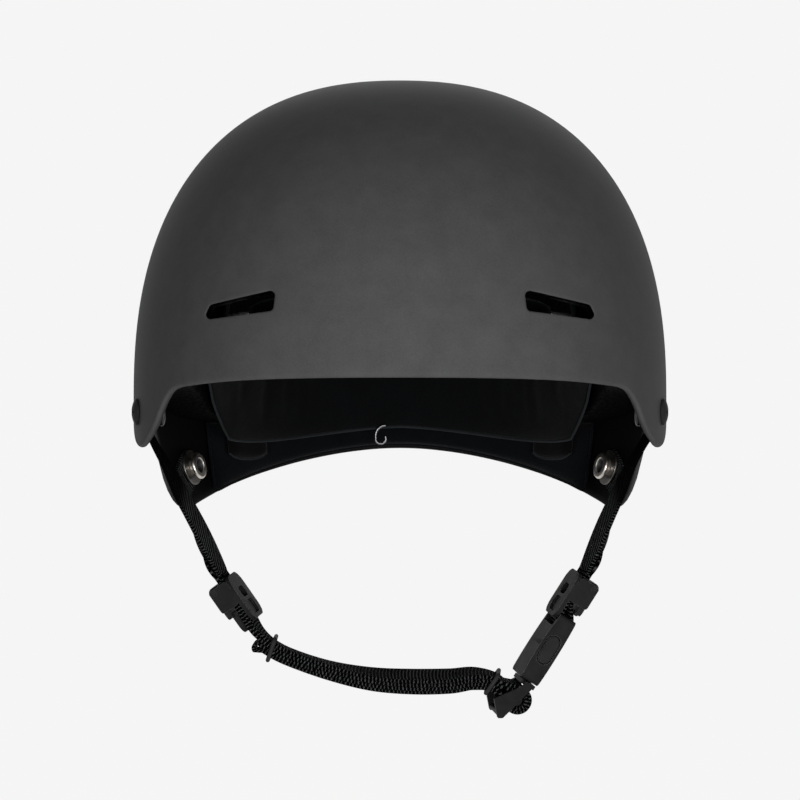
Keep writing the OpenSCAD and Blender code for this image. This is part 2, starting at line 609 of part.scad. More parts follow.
module prong(front) {
    pad_x = window_x - 0.35;
    edge = socket_w / 2 - 0.2;
    color("#303031") mirror([0, front ? 1 : 0, 0]) {
        block(-cavity_x + 0.7, cavity_x - 0.7, prong_y - prong_t / 2, prong_y + prong_t / 2,
            prong_root_z, 7);
        translate([-cavity_x + 0.7, prong_y, prong_root_z]) rotate([0, 90, 0])
            cylinder(r = prong_t / 2, h = 2 * cavity_x - 1.4);
        stadium_bar(pad_x, -thumb_l / 2, thumb_l / 2, prong_y, edge - 0.5);
        stadium_bar(pad_x - 0.6, -thumb_l / 2 + 0.6, thumb_l / 2 - 0.6, prong_y, edge);
    }
}

// Webbing of the left side: down the divider, round the socket's bar and up again
module socket_web() {
    lean = buckle_lean;
    turn_r = sewn_bar_r + 0.3 + web_t / 2;
    top = divider_rise + strap_end_z - 0.3;
    exit = divider_rise - 2;
    side_steps = 4;
    outer_leg = [for (k = [0:side_steps]) let (t = k / side_steps)
        [mix(outer_layer_x, turn_r, smooth(t)), mix(exit, sewn_bar_z, t)]];
    inner_leg = [for (k = [side_steps:-1:0]) let (t = k / side_steps)
        [mix(inner_layer_x, -turn_r, smooth(t)), mix(exit, sewn_bar_z, t)]];
    turn = [for (a = [20:20:160]) [turn_r * cos(a), sewn_bar_z - turn_r * sin(a)]];
    flat = concat([[outer_layer_x, top]], outer_leg, turn, inner_leg, [[inner_layer_x, top]]);
    path = [for (p = flat) in_frame(1, buckle_at, lean, p.x, p.y)];
    color("#19191a") ribbon(stations_of(path, [for (p = path) wide_dir(1, lean)]), web_w, web_t);
}

// Route of the chin webbing's middle line, in the plane of the harness, as [x, z]
chin_route = [[-62.7, -97], [-58.6, -103.4], [-52.8, -108.5], [-44.5, -112.8], [-29, -118], [-12, -121.5],
    [4, -122.6], [20, -122.4], [30.2, -121.3], [39.4, -123.6]];
chin_last_slope = [7.2, -5.6];          // the webbing dips into the plug
// Extra turn of the webbing along its route
chin_turns = [[0, 0], [1.8, -7.5], [3, -9], [4, -6.5], [5.2, 2], [6.5, 5], [8, 0], [9, -6]];
chin_steps = 3;
function route_slope(i) = i == 0 ? chin_route[1] - chin_route[0]
    : i == len(chin_route) - 1 ? chin_last_slope
    : (chin_route[i + 1] - chin_route[i - 1]) / 2;
function route_at(s) = let (i = min(floor(s), len(chin_route) - 2), t = s - i, u = 1 - t)
    chin_route[i] * (1 + 2 * t) * u * u + route_slope(i) * t * u * u
    + chin_route[i + 1] * (3 - 2 * t) * t * t - route_slope(i + 1) * t * t * u;
chin_end = len(chin_route) - 1;
function chin_along(s) = let (q = unit(route_at(s + 0.02) - route_at(s - 0.02))) [q[0], 0, q[1]];
function chin_twist(s) = harness_twist + curve_at(chin_turns, s);
function chin_up(s) = let (q = chin_along(s), a = chin_twist(s)) [-q.z * cos(a), -sin(a), q.x * cos(a)];
function chin_wide(s) = let (q = chin_along(s), a = chin_twist(s)) [-q.z * sin(a), cos(a), q.x * sin(a)];
function chin_drift(s) = -1.4 * smooth((s - 6) / 3);    // sideways, to meet the turned plug squarely
function chin_spot(s, offset) = let (p = route_at(s)) [p[0], chin_drift(s), p[1]] + offset * chin_up(s);

// The webbing lies double: two layers run to the plug, round its bar and back, and fold over at their end
fold_s = 1.85;                          // place along the route where the spare webbing folds over
fold_r = 1.7;
function reversed(list) = [for (i = [len(list) - 1:-1:0]) list[i]];
function plug_point(x, z) = in_frame(1, buckle_at, buckle_lean, x, z);
function chin_run(from, side) = [for (k = [ceil(from * chin_steps):chin_end * chin_steps])
    let (s = k / chin_steps) [chin_spot(s, side * stack), chin_wide(s)]];
function into_loop(side) =
    let (a = chin_spot(chin_end, side * stack), b = plug_point(loop_x, bar_z + side * turn_r),
         handle = side > 0 ? 4 : 7, back = plug_point(loop_x - handle, bar_z + side * turn_r))
    [for (t = [0.2:0.2:1]) [bezier(a, a + 3 * chin_along(chin_end), back, b, t),
        mix(chin_wide(chin_end), wide_dir(1, buckle_lean), t)]];
function double_line() =
    let (divider = [for (z = [strap_end_z - 0.3, 0])
             [in_frame(-1, divider_right_at, divider_lean_right, (inner_layer_x + outer_layer_x) / 2, z),
              wide_dir(-1, divider_lean_right)]],
         turn = [for (a = [70:-20:-70])
             [plug_point(loop_x + turn_r * cos(a), bar_z + turn_r * sin(a)), wide_dir(1, buckle_lean)]])
    concat(divider, chin_run(0.2, 1), into_loop(1), turn,
           reversed(into_loop(-1)), reversed(chin_run(fold_s, -1)));
function offset_line(stations, d) = [for (s = stations) [s[0] + s[2] * d, s[1], s[2]]];
module chin_web() {
    line = double_line();
    middle = stations_of([for (p = line) p[0]], [for (p = line) p[1]]);
    along = chin_along(fold_s);
    fold_mid = chin_spot(fold_s, -0.5 * stack - fold_r - 0.1) - 2.6 * along;
    fold = [for (a = [75:-30:-75]) let (out = chin_up(fold_s) * sin(a) - along * cos(a))
        [fold_mid + fold_r * out, chin_wide(fold_s), -out]];
    color("#19191a") ribbon(concat(offset_line(middle, -stack / 2), fold,
        reversed([for (s = offset_line(middle, stack / 2)) [s[0], s[1], -s[2]]])), web_w, web_t);
}

// Keeper rings: round-section loops about the four layers of chin webbing
keeper_gap = 0.35;
keeper_half_w = web_w / 2 + keeper_gap + keeper_r;
keeper_corner = keeper_r + 0.95;
plug_keeper_s = 8.76;
fold_keeper_s = 2.12;
plug_keeper_lean = -12;                 // lean of a ring off square to the webbing
fold_keeper_lean = 14;
module keeper_ring(s, lean) {
    keeper_half_t = round(100 * ((2 * stack + keeper_gap) / cos(lean) + keeper_r)) / 100;
    along = chin_along(s);
    straight_w = keeper_half_w - keeper_corner;
    straight_t = keeper_half_t - keeper_corner;
    color("#242425") translate(chin_spot(s, 0)) rotate([0, 90 + atan2(-along.z, along.x) - lean, 0])
        rotate([0, 0, chin_twist(s)]) {
        for (x = [-1, 1]) for (y = [-1, 1])
            translate([x * straight_t, y * straight_w, 0])
                rotate([0, 0, x > 0 ? (y > 0 ? 0 : 270) : (y > 0 ? 90 : 180)])
                    rotate_extrude(angle = 90) translate([keeper_corner, 0]) circle(r = keeper_r);
        for (x = [-1, 1]) translate([x * keeper_half_t, straight_w, 0]) rotate([90, 0, 0])
            cylinder(r = keeper_r, h = 2 * straight_w);
        for (y = [-1, 1]) translate([-straight_t, y * keeper_half_w, 0]) rotate([0, 90, 0])
            cylinder(r = keeper_r, h = 2 * straight_t);
    }
}

// Small open ring of wire at the foot of the rear pad
wire_r = 0.5;
bow_r = 2.2;                            // lower bow
hook_r = 4.3;                           // upper bow, which ends free
leg = 1.4;
ring_inset = 28.6;                      // depth of the ring's plane below the shell's outer surface
module nape_ring() {
    color("#a29d97") translate(skin_at(94.9, bend(-23.2, 0), ring_inset)) rotate([90, 0, 0]) {
        translate([0, -1.8, 0]) rotate([0, 0, 180]) rotate_extrude(angle = 205)
            translate([bow_r, 0]) circle(r = wire_r);
        translate([-bow_r, -1.8, 0]) rotate([-90, 0, 0]) cylinder(r = wire_r, h = leg);
        translate([hook_r - bow_r, leg - 1.8, 0]) rotate([0, 0, 90]) rotate_extrude(angle = 90)
            translate([hook_r, 0]) circle(r = wire_r);
    }
}

shell();
foam_liner();
brow_pad();
crown_pad();
side_pad(1);  // side_pad_left
side_pad(-1);  // side_pad_right
rear_pad();
nape_pad();
spacer_pad(1);  // spacer_pad_left
spacer_pad(-1);  // spacer_pad_right
hook_discs();
anchor_screws(false);  // front_anchor_screws
anchor_screws(true);  // rear_anchor_screws
anchor_washers(false);  // front_anchor_washers
anchor_washers(true);  // rear_anchor_washers
barrel_nuts(false);  // front_barrel_nuts
barrel_nuts(true);  // rear_barrel_nuts
color("#19191a") yoke_strap(1, false);  // front_strap_left
color("#19191a") yoke_strap(1, true);  // rear_strap_left
color("#19191a") yoke_strap(-1, false);  // front_strap_right
color("#19191a") yoke_strap(-1, true);  // rear_strap_right
color("#303031") place(1, divider_left_at, buckle_lean) divider_frame();  // divider_frame_left
color("#39393a") place(1, divider_left_at, buckle_lean) divider_lever(short_tongue);  // divider_lever_left
color("#303031") place(-1, divider_right_at, divider_lean_right) divider_frame();  // divider_frame_right
color("#39393a") place(-1, divider_right_at, divider_lean_right) divider_lever(long_tongue);  // divider_lever_right
socket_web();
place(1, buckle_at, buckle_lean) buckle_socket();
place(1, buckle_at, buckle_lean) buckle_plug();
place(1, buckle_at, buckle_lean) prong(true);  // prong_front
place(1, buckle_at, buckle_lean) prong(false);  // prong_rear
chin_web();
keeper_ring(plug_keeper_s, plug_keeper_lean);  // keeper_ring_plug_end
keeper_ring(fold_keeper_s, fold_keeper_lean);  // keeper_ring_fold_end
nape_ring();
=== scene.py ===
import math

import bmesh
import bpy
from mathutils import Matrix, Vector
from mathutils.geometry import delaunay_2d_cdt


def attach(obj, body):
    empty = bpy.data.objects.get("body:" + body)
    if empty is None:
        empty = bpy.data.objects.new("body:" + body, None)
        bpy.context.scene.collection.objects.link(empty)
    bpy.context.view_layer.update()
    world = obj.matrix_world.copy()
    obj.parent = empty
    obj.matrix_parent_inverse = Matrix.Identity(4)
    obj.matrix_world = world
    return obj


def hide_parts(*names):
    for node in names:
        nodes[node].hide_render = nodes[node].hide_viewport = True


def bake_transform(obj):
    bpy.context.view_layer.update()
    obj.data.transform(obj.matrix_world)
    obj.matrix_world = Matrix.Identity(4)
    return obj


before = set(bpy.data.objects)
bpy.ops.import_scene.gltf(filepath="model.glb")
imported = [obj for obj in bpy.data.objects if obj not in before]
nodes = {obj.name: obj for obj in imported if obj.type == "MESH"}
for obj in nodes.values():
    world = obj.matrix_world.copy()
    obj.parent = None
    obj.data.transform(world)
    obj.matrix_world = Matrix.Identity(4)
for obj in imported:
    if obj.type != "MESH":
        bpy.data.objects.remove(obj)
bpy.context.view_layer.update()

# Camera: level, on the middle plane, 1.5 m in front of the helmet's middle
PHOTO_WIDTH = 800
FOCAL_PIXELS = 3694
camera_data = bpy.data.cameras.new("front_camera")
camera_data.sensor_width = 36
camera_data.lens = FOCAL_PIXELS / PHOTO_WIDTH * camera_data.sensor_width
camera_data.clip_start = 0.1
camera_data.clip_end = 30
camera = bpy.data.objects.new("front_camera", camera_data)
camera.location = (0, -1.5, -0.0083)
camera.rotation_euler = (math.radians(90), 0, 0)
bpy.context.scene.collection.objects.link(camera)
bpy.context.scene.camera = camera
bpy.context.scene.view_settings.view_transform = "Standard"

# The helmet's driving sizes in millimetres and degrees, the same as in the part's source
MM = 0.001
HALF_W = 107.5
HALF_L = 132.0
CROWN_H = 120.3
GIRTH_Z = -8.3
DOME_H = CROWN_H - GIRTH_Z
PLAN_POWER = 2.2
FRONT_POWER = 2.4
SKIRT_DRAW = 0.065
SKIRT_STEP = 1.9
NAPE_TUCK = 0.8
TAB, EAR, CORNER, NAPE = 27.0, 9.0, 54.0, 29.5
SKIRT_REF = CORNER + GIRTH_Z
SHELL_T = 3.0
FOAM_GAP = 0.6
LINER_INSET = SHELL_T + FOAM_GAP
LINER_T = 20
CAVITY_INSET = LINER_INSET + LINER_T
PAD_GAP = 1.1
PAD_INSET = CAVITY_INSET + PAD_GAP
PAD_T = 6.0
NAPE_GAP = 0.3
NAPE_INSET = LINER_INSET + NAPE_GAP
VENT_IN, VENT_OUT, VENT_Z, VENT_H, VENT_R = 47.5, 75.0, 27.0, 8.0, 1.8
VENT_TILT = 2.1
WEB_W = 15.0
WEB_T = 1.5
RIB_PITCH = 1.4
EDGE_YARN_PITCH = 1.5
LAYER_GAP = 0.08
STACK = WEB_T + LAYER_GAP
HARNESS_TWIST = 10.0
SOCKET_L, SOCKET_T = 30.0, 8.0
PLATE_T, PLATE_GAP, PLATE_SINK = 1.8, 0.35, 0.3
SEWN_BAR_R, PLUG_BAR_R = 1.7, 2.2
LINER_LOW = -17.0


def keep(x, low, high):
    """x, held between low and high."""
    return min(high, max(low, x))


def smooth(x):
    """A soft step from 0 at 0 to 1 at 1."""
    t = keep(x, 0, 1)
    return t * t * (3 - 2 * t)


def mix(a, b, t):
    return a + (b - a) * t


def curve_at(points, x):
    """Height of the smooth curve through [x, value] pairs."""
    last = len(points) - 1
    i = max([0] + [k for k in range(last) if x >= points[k][0]])

    def slope(k):
        if k in (0, last):
            return 0.0
        return (points[k + 1][1] - points[k - 1][1]) / (points[k + 1][0] - points[k - 1][0])

    h = points[i + 1][0] - points[i][0]
    t = keep((x - points[i][0]) / h, 0, 1)
    u = 1 - t
    start = points[i][1] * (1 + 2 * t) * u * u + slope(i) * h * t * u * u
    return start + points[i + 1][1] * (3 - 2 * t) * t * t - slope(i + 1) * h * t * t * u


def sine(degrees):
    return math.sin(math.radians(degrees))


def cosine(degrees):
    return math.cos(math.radians(degrees))


def signed_power(x, e):
    return math.copysign(abs(x) ** e, x)


def latitude(phi):
    """Where an azimuth lies from the brow at -90 to the nape at 90, the same on both sides."""
    return math.degrees(math.asin(keep(sine(phi), -1, 1)))


def ear_to_corner(share):
    return -EAR - share * (CORNER - EAR)


def corner_to_nape(share):
    return -NAPE - share * (CORNER - NAPE)


SHELL_EDGE = [
    (-90, 0), (-62, -0.026 * TAB), (-44, -0.1 * TAB), (-37, -0.17 * TAB), (-33, -0.36 * TAB),
    (-29, -0.65 * TAB), (-24, -0.87 * TAB), (-18, -TAB), (-11, -0.89 * TAB),
    (-3, -EAR - 0.25 * (TAB - EAR)), (5, -EAR), (11, ear_to_corner(0.1)), (15.5, ear_to_corner(0.3)),
    (18.5, ear_to_corner(0.55)), (20.5, ear_to_corner(0.79)), (23, ear_to_corner(0.95)), (26.5, -CORNER),
    (33, corner_to_nape(0.9)), (46.5, corner_to_nape(0.62)), (56.5, corner_to_nape(0.42)),
    (68.5, corner_to_nape(0.21)), (80, corner_to_nape(0.06)), (90, -NAPE)]
LINER_EDGE = [
    (-90, 4), (-44, 1.5), (-33, 0), (-18, -2.5), (-3, -3.5), (5, -EAR + 4), (13, -EAR + 1),
    (22, LINER_LOW + 3), (33, LINER_LOW), (90, LINER_LOW)]


def draw(phi):
    """How far the skirt draws in at its foot, as a share of the girth."""
    lat = latitude(phi)
    return SKIRT_DRAW * smooth((lat - 5) / 25) * (1 + NAPE_TUCK * smooth((lat - 40) / 40))


def bend(z, inset):
    """The section's bend at a height: 0 at the crown, 90 at the widest line, more on the skirt."""
    if z > GIRTH_Z:
        return math.degrees(math.acos(min(1, (z - GIRTH_Z) / (DOME_H - inset)) ** (FRONT_POWER / 2)))
    return 90 + (GIRTH_Z - z) / SKIRT_STEP


def girth_share(phi, bent):
    """The section's width at a bend, as a share of the widest."""
    skirt = max(0, bent - 90) * SKIRT_STEP
    return sine(bent) ** (2 / FRONT_POWER) if bent <= 90 else 1 - draw(phi) * (skirt / SKIRT_REF) ** 2


def skin_at(phi, bent, inset):
    """A point of the skin at an azimuth and a bend, moved in by an inset."""
    r = girth_share(phi, bent)
    if bent <= 90:
        z = GIRTH_Z + (DOME_H - inset) * max(0, cosine(bent)) ** (2 / FRONT_POWER)
    else:
        z = GIRTH_Z - (bent - 90) * SKIRT_STEP
    return Vector(((HALF_W - inset) * r * signed_power(cosine(phi), 2 / PLAN_POWER),
                   (HALF_L - inset) * r * signed_power(sine(phi), 2 / PLAN_POWER), z))


def normal_at(phi, bent):
    along = skin_at(phi, bent + 0.5, 0) - skin_at(phi, bent - 0.5, 0)
    return along.cross(skin_at(phi + 0.5, bent, 0) - skin_at(phi - 0.5, bent, 0)).normalized()


def skin_behind(x, z, inset, back):
    """The skin's point at a place of the front view, on the brow side or the nape side."""
    bent = bend(z, inset)
    r = sine(bent) ** (2 / FRONT_POWER)
    c = keep(abs(x) / ((HALF_W - inset) * r), 0, 1) ** (PLAN_POWER / 2)
    y = (HALF_L - inset) * r * math.sqrt(1 - c * c) ** (2 / PLAN_POWER)
    return Vector((x, y if back else -y, z))


def make_piece(name, points, faces):
    """A mesh object from points in millimetres, with its faces turned outwards."""
    mesh = bpy.data.meshes.new(name)
    mesh.from_pydata([p * MM for p in points], [], faces)
    build = bmesh.new()
    build.from_mesh(mesh)
    bmesh.ops.recalc_face_normals(build, faces=build.faces)
    build.to_mesh(mesh)
    build.free()
    for face in mesh.polygons:
        face.use_smooth = True
    piece = bpy.data.objects.new(name, mesh)
    bpy.context.scene.collection.objects.link(piece)
    return piece


class Signal:
    """What a node gives out. Arithmetic on a signal that is a number adds Math nodes."""

    def __init__(self, tree, socket):
        self.tree = tree
        self.socket = socket

    def combine(self, operation, first, second=0.0):
        return self.tree.signal("ShaderNodeMath", {"operation": operation}, {0: first, 1: second})

    def __add__(self, other):
        return self.combine("ADD", self, other)

    __radd__ = __add__

    def __sub__(self, other):
        return self.combine("SUBTRACT", self, other)

    def __rsub__(self, other):
        return self.combine("SUBTRACT", other, self)

    def __mul__(self, other):
        return self.combine("MULTIPLY", self, other)

    __rmul__ = __mul__

    def size(self):
        return self.combine("ABSOLUTE", self)

    def sine(self):
        return self.combine("SINE", self)

    def upper_of(self, other):
        return self.combine("MAXIMUM", self, other)

    def between(self, low, high):
        """0 below low, 1 above high, and a soft step from one to the other."""
        return self.tree.signal("ShaderNodeMapRange", {"interpolation_type": "SMOOTHSTEP"},
                                {"Value": self, "From Min": low, "From Max": high})


class Tree:
    """The node tree of a material or of the world."""

    def __init__(self, owner):
        owner.use_nodes = True
        self.nodes = owner.node_tree.nodes
        self.links = owner.node_tree.links

    def signal(self, kind, settings=None, inputs=None, output=0):
        """Adds a node of a type, makes its settings, feeds its sockets and gives one of its outputs."""
        node = self.nodes.new(kind)
        for key, value in (settings or {}).items():
            setattr(node, key, value)
        for key, value in (inputs or {}).items():
            self.feed(node.inputs[key], value)
        return Signal(self, node.outputs[output])

    def feed(self, socket, value):
        if isinstance(value, Signal):
            self.links.new(value.socket, socket)
        else:
            socket.default_value = value

    def show(self, output, signal):
        self.feed(self.nodes[output].inputs["Surface"], signal)

    def seen(self):
        """1 where the camera looks, also by way of a gloss or through glass, and 0 where light falls."""
        camera, gloss, glass = [self.signal("ShaderNodeLightPath", output=f"Is {kind} Ray")
                                for kind in ("Camera", "Glossy", "Transmission")]
        return camera.upper_of(gloss).upper_of(glass)


class Finish(Tree):
    """A material that is built up around one Principled shader."""

    def __init__(self, name, **sockets):
        self.material = bpy.data.materials.new(name)
        super().__init__(self.material)
        self.shader = self.nodes["Principled BSDF"]
        for socket, value in sockets.items():
            self.shader.inputs[socket.replace("_", " ")].default_value = value

    def place(self):
        """Where a point is, in metres in the helmet's frame."""
        return self.signal("ShaderNodeTexCoord", output="Object")

    def noise(self, scale, detail, roughness):
        """Soft noise about 0.5, with scale waves to a metre."""
        return self.signal("ShaderNodeTexNoise", {}, {
            "Vector": self.place(), "Scale": scale, "Detail": detail, "Roughness": roughness})

    def beads(self, scale, feature="F1"):
        """Rounded cells, with scale of them to a metre."""
        return self.signal("ShaderNodeTexVoronoi", {"feature": feature}, {
            "Vector": self.place(), "Scale": scale})

    def axis(self, at, name):
        return self.signal("ShaderNodeSeparateXYZ", {}, {"Vector": at}, output=name)

    def vector(self, operation, first, second=(0, 0, 0), output=0):
        return self.signal("ShaderNodeVectorMath", {"operation": operation}, {0: first, 1: second}, output)

    def blend_colours(self, share, first, second):
        """A Mix node takes its colours at sockets 6 and 7 and gives the mixed one at output 2."""
        return self.signal("ShaderNodeMix", {"data_type": "RGBA"}, {0: share, 6: first, 7: second}, 2)

    def colour(self, value):
        self.feed(self.shader.inputs["Base Color"], value)

    def roughness(self, value):
        self.feed(self.shader.inputs["Roughness"], value)

    def metallic(self, value):
        self.feed(self.shader.inputs["Metallic"], value)

    def relief(self, height, depth):
        """Raises the surface by a height signal, where 1 stands for depth metres."""
        bump = self.signal("ShaderNodeBump", {}, {"Height": height, "Distance": depth, "Strength": 1.0})
        self.feed(self.shader.inputs["Normal"], bump)


def grey(level):
    return (level, level, level, 1)


def shell_finish():
    """Matt black moulded plastic with a fine, faintly mottled grain, painted near-black on its inner side as
    shade.
    """
    finish = Finish("matt_black_shell", Specular_IOR_Level=0.02)
    mottle = finish.noise(90, 4, 0.6)
    grain = finish.noise(1600, 3, 0.7)
    share = (mottle - 0.5) * 0.9 + (grain - 0.5) * 0.9 + 0.5
    outside = finish.blend_colours(share, (0.046, 0.046, 0.047, 1), (0.074, 0.074, 0.075, 1))
    # The inner side, the inner half of the rim and the vent walls blend to near-black: painted shade.
    inner = finish.signal("ShaderNodeAttribute", {"attribute_name": "inner"}, output="Fac")
    finish.colour(finish.blend_colours(inner.between(0.3, 0.9), outside, grey(0.0025)))
    finish.roughness(0.56 + (mottle - 0.5) * 0.1)
    finish.relief(grain, 0.00006)
    return finish.material


def foam_finish():
    """Black expanded foam: pressed beads that meet in fine creases, painted darker there as shade."""
    finish = Finish("black_bead_foam", Specular_IOR_Level=0.01)
    bead = finish.beads(430)
    crease = finish.beads(430, "DISTANCE_TO_EDGE").between(0.0, 0.12)
    finish.colour(finish.blend_colours(crease, grey(0.0006), grey(0.0022)))
    finish.roughness(0.5 + bead * 0.3)
    finish.relief(crease, 0.0004)
    return finish.material


def pad_cloth_finish(name, low, high, weave):
    """Brushed pad cloth with a short pile and a soft woven ground."""
    finish = Finish(name, Specular_IOR_Level=0.03, Sheen_Weight=0.03, Sheen_Roughness=0.5)
    pile = finish.noise(2600, 2, 0.8)
    patch = finish.noise(70, 3, 0.55)
    share = (pile - 0.5) * 1.1 + (patch - 0.5) * 0.8 + 0.5
    finish.colour(finish.blend_colours(share, low, high))
    finish.roughness(0.86 + (patch - 0.5) * 0.2)
    finish.relief(pile * 0.6 + finish.noise(weave, 1, 0.4) * 0.4, 0.0003)
    return finish.material


def webbing_finish():
    """Woven webbing: ribs that bow across the face, and edges of short looped yarns."""
    finish = Finish("ribbed_black_webbing", Specular_IOR_Level=0.005)
    weave = finish.signal("ShaderNodeAttribute", {"attribute_name": "weave"}, output="Vector")
    across = finish.axis(weave, "X")
    along = finish.axis(weave, "Y")
    wander = finish.noise(120, 2, 0.5)
    bowed = along + across * across * 0.01 + wander * 0.3
    rib = (bowed * (2 * math.pi / RIB_PITCH)).sine() * 0.5 + 0.5
    edge = across.size().between(WEB_W / 2 - 0.9, WEB_W / 2 - 0.5)
    yarn = along + finish.noise(300, 2, 0.6) * 2.0
    loop = (yarn * (2 * math.pi / EDGE_YARN_PITCH)).sine() * 0.5 + 0.5
    height = rib * (1 - edge) + loop * edge
    glint = finish.noise(380, 2, 0.6)
    patch = finish.noise(60, 2, 0.5).between(0.3, 0.7)
    # Over the first stretch of each front strap the lighter rib colour is left out: painted shade, carried
    # by this attribute.
    used = finish.signal("ShaderNodeAttribute", {"attribute_name": "clear_of_painted_shade"}, output="Fac")
    lit = rib.between(0.45, 0.95) * (0.35 + 0.7 * glint + 0.35 * patch) * (1 - edge)
    lit = (lit + loop.between(0.65, 1.0) * (0.1 + glint) * edge) * used
    finish.colour(finish.blend_colours(lit, grey(0.001), (0.082, 0.085, 0.088, 1)))
    finish.roughness(0.74 - lit * 0.14)
    finish.relief(height, 0.0006)
    return finish.material


def moulded_finish(name, low, high, rough):
    """Satin black nylon with a fine moulded texture and faint flow marks."""
    finish = Finish(name, Specular_IOR_Level=0.008)
    flow = finish.noise(160, 3, 0.55)
    grain = finish.noise(3000, 2, 0.6)
    finish.colour(finish.blend_colours((flow - 0.5) * 1.2 + 0.5, grey(low), grey(high)))
    finish.roughness(rough + (flow - 0.5) * 0.16)
    finish.relief(grain, 0.000006)
    return finish.material


def metal_finish(name, low, high):
    """Nickel plate with fine turning marks and a little tarnish."""
    finish = Finish(name, Metallic=1.0)
    tarnish = finish.noise(520, 4, 0.6)
    finish.colour(finish.blend_colours(tarnish, low, high))
    finish.roughness(0.24 + tarnish * 0.16)
    finish.relief(finish.noise(3500, 1, 0.5), 0.00002)
    return finish.material


BORE_R = 2.9


def nut_finish(name, spot, out, low, high):
    """Plated nut with its bore painted near-black as shade, about the left nut's place and axis. The right
    nut mirrors it.
    """
    finish = Finish(name, Roughness=0.3)
    tarnish = finish.noise(520, 4, 0.6)
    mirrored = finish.vector("MULTIPLY", finish.vector("ABSOLUTE", finish.place()), (1, 0, 0))
    at = finish.vector("ADD", mirrored, finish.vector("MULTIPLY", finish.place(), (0, 1, 1)))
    arm = finish.vector("SUBTRACT", at, spot * MM)
    radius = finish.vector("LENGTH", finish.vector("CROSS_PRODUCT", arm, out), output="Value")
    plate = radius.between(BORE_R * MM, (BORE_R + 0.5) * MM)
    metal = finish.blend_colours(tarnish, low, high)
    finish.colour(finish.blend_colours(plate, grey(0.004), metal))
    finish.metallic(plate)
    finish.roughness(0.6 - plate * 0.34 + tarnish * 0.1)
    return finish.material


def hook_finish():
    """Hook tape: a dense field of fine stiff hooks, with painted shade in the gaps between their heads."""
    finish = Finish("hook_tape_black", Specular_IOR_Level=0.3)
    hooks = finish.beads(1500).between(0.1, 0.6)
    finish.colour(finish.blend_colours(hooks, grey(0.03), grey(0.008)))
    finish.roughness(0.7 + hooks * 0.2)
    finish.relief(1 - hooks, 0.0004)
    return finish.material


SHELL = shell_finish()
FOAM = foam_finish()
PAD = pad_cloth_finish("brushed_pad_cloth", (0.0008, 0.0009, 0.001, 1), (0.0034, 0.0038, 0.0042, 1), 900)
NAPE_CLOTH = pad_cloth_finish("nape_cloth", (0.001, 0.0012, 0.0017, 1), (0.004, 0.0048, 0.0062, 1), 1200)
SPACER_CLOTH = pad_cloth_finish("spacer_cloth", grey(0.0008), grey(0.003), 1200)
PIPING = pad_cloth_finish("piping_cloth", (0.005, 0.006, 0.007, 1), (0.022, 0.026, 0.028, 1), 2000)
WEB = webbing_finish()
BUCKLE = moulded_finish("satin_black_nylon", 0.008, 0.020, 0.34)
LEVER = moulded_finish("satin_black_nylon_lever", 0.011, 0.026, 0.32)
SCREW = moulded_finish("black_screw_head", 0.020, 0.034, 0.36)
RUBBER = moulded_finish("black_keeper_rubber", 0.020, 0.036, 0.42)
# Lighter satin for the softened edges of the buckle, dividers, levers and prongs: a painted highlight along
# those edges.
EDGE_PAINTED_HIGHLIGHT = moulded_finish("satin_edge_painted_highlight", 0.05, 0.12, 0.28)
WASHER = metal_finish("dull_nickel_plate", (0.14, 0.13, 0.12, 1), (0.28, 0.27, 0.25, 1))
WIRE = metal_finish("dull_steel_wire", (0.09, 0.09, 0.095, 1), (0.20, 0.20, 0.21, 1))
HOOKS = hook_finish()


def vent_ring(grow, side):
    """A vent's outline in the front view, grown by a distance, as [x, z] points 1.2 mm or so apart."""
    inner_z = VENT_Z + VENT_TILT
    outer_z = VENT_Z - VENT_TILT
    outer_half = VENT_H * 0.37
    corners = [Vector(p) for p in (
        (VENT_IN, inner_z - VENT_H / 2), (VENT_OUT, outer_z - outer_half),
        (VENT_OUT - 3, outer_z + outer_half), (VENT_IN - 1, inner_z + VENT_H / 2))]
    arcs = []
    for i, b in enumerate(corners):
        u = (corners[i - 1] - b).normalized()
        v = (corners[(i + 1) % 4] - b).normalized()
        half = math.acos(keep(u.dot(v), -1, 1)) / 2
        middle = b + (u + v).normalized() * VENT_R / math.sin(half)
        start = b + u * VENT_R / math.tan(half) - middle
        end = b + v * VENT_R / math.tan(half) - middle
        arcs.append([middle + (VENT_R + grow) * start.lerp(end, k / 5).normalized() for k in range(6)])
    ring = []
    for i, arc in enumerate(arcs):
        ring += arc
        first = arc[-1]
        last = arcs[(i + 1) % 4][0]
        steps = 18 if i % 2 == 0 else 4
        ring += [first.lerp(last, k / steps) for k in range(1, steps)]
    return [Vector((side * p.x, p.y)) for p in ring]


def inside(ring, point):
    """Whether a point of the front view lies inside a closed ring."""
    found = False
    for a, b in zip(ring, ring[1:] + ring[:1]):
        if (a.y > point.y) != (b.y > point.y):
            if point.x < a.x + (point.y - a.y) / (b.y - a.y) * (b.x - a.x):
                found = not found
    return found


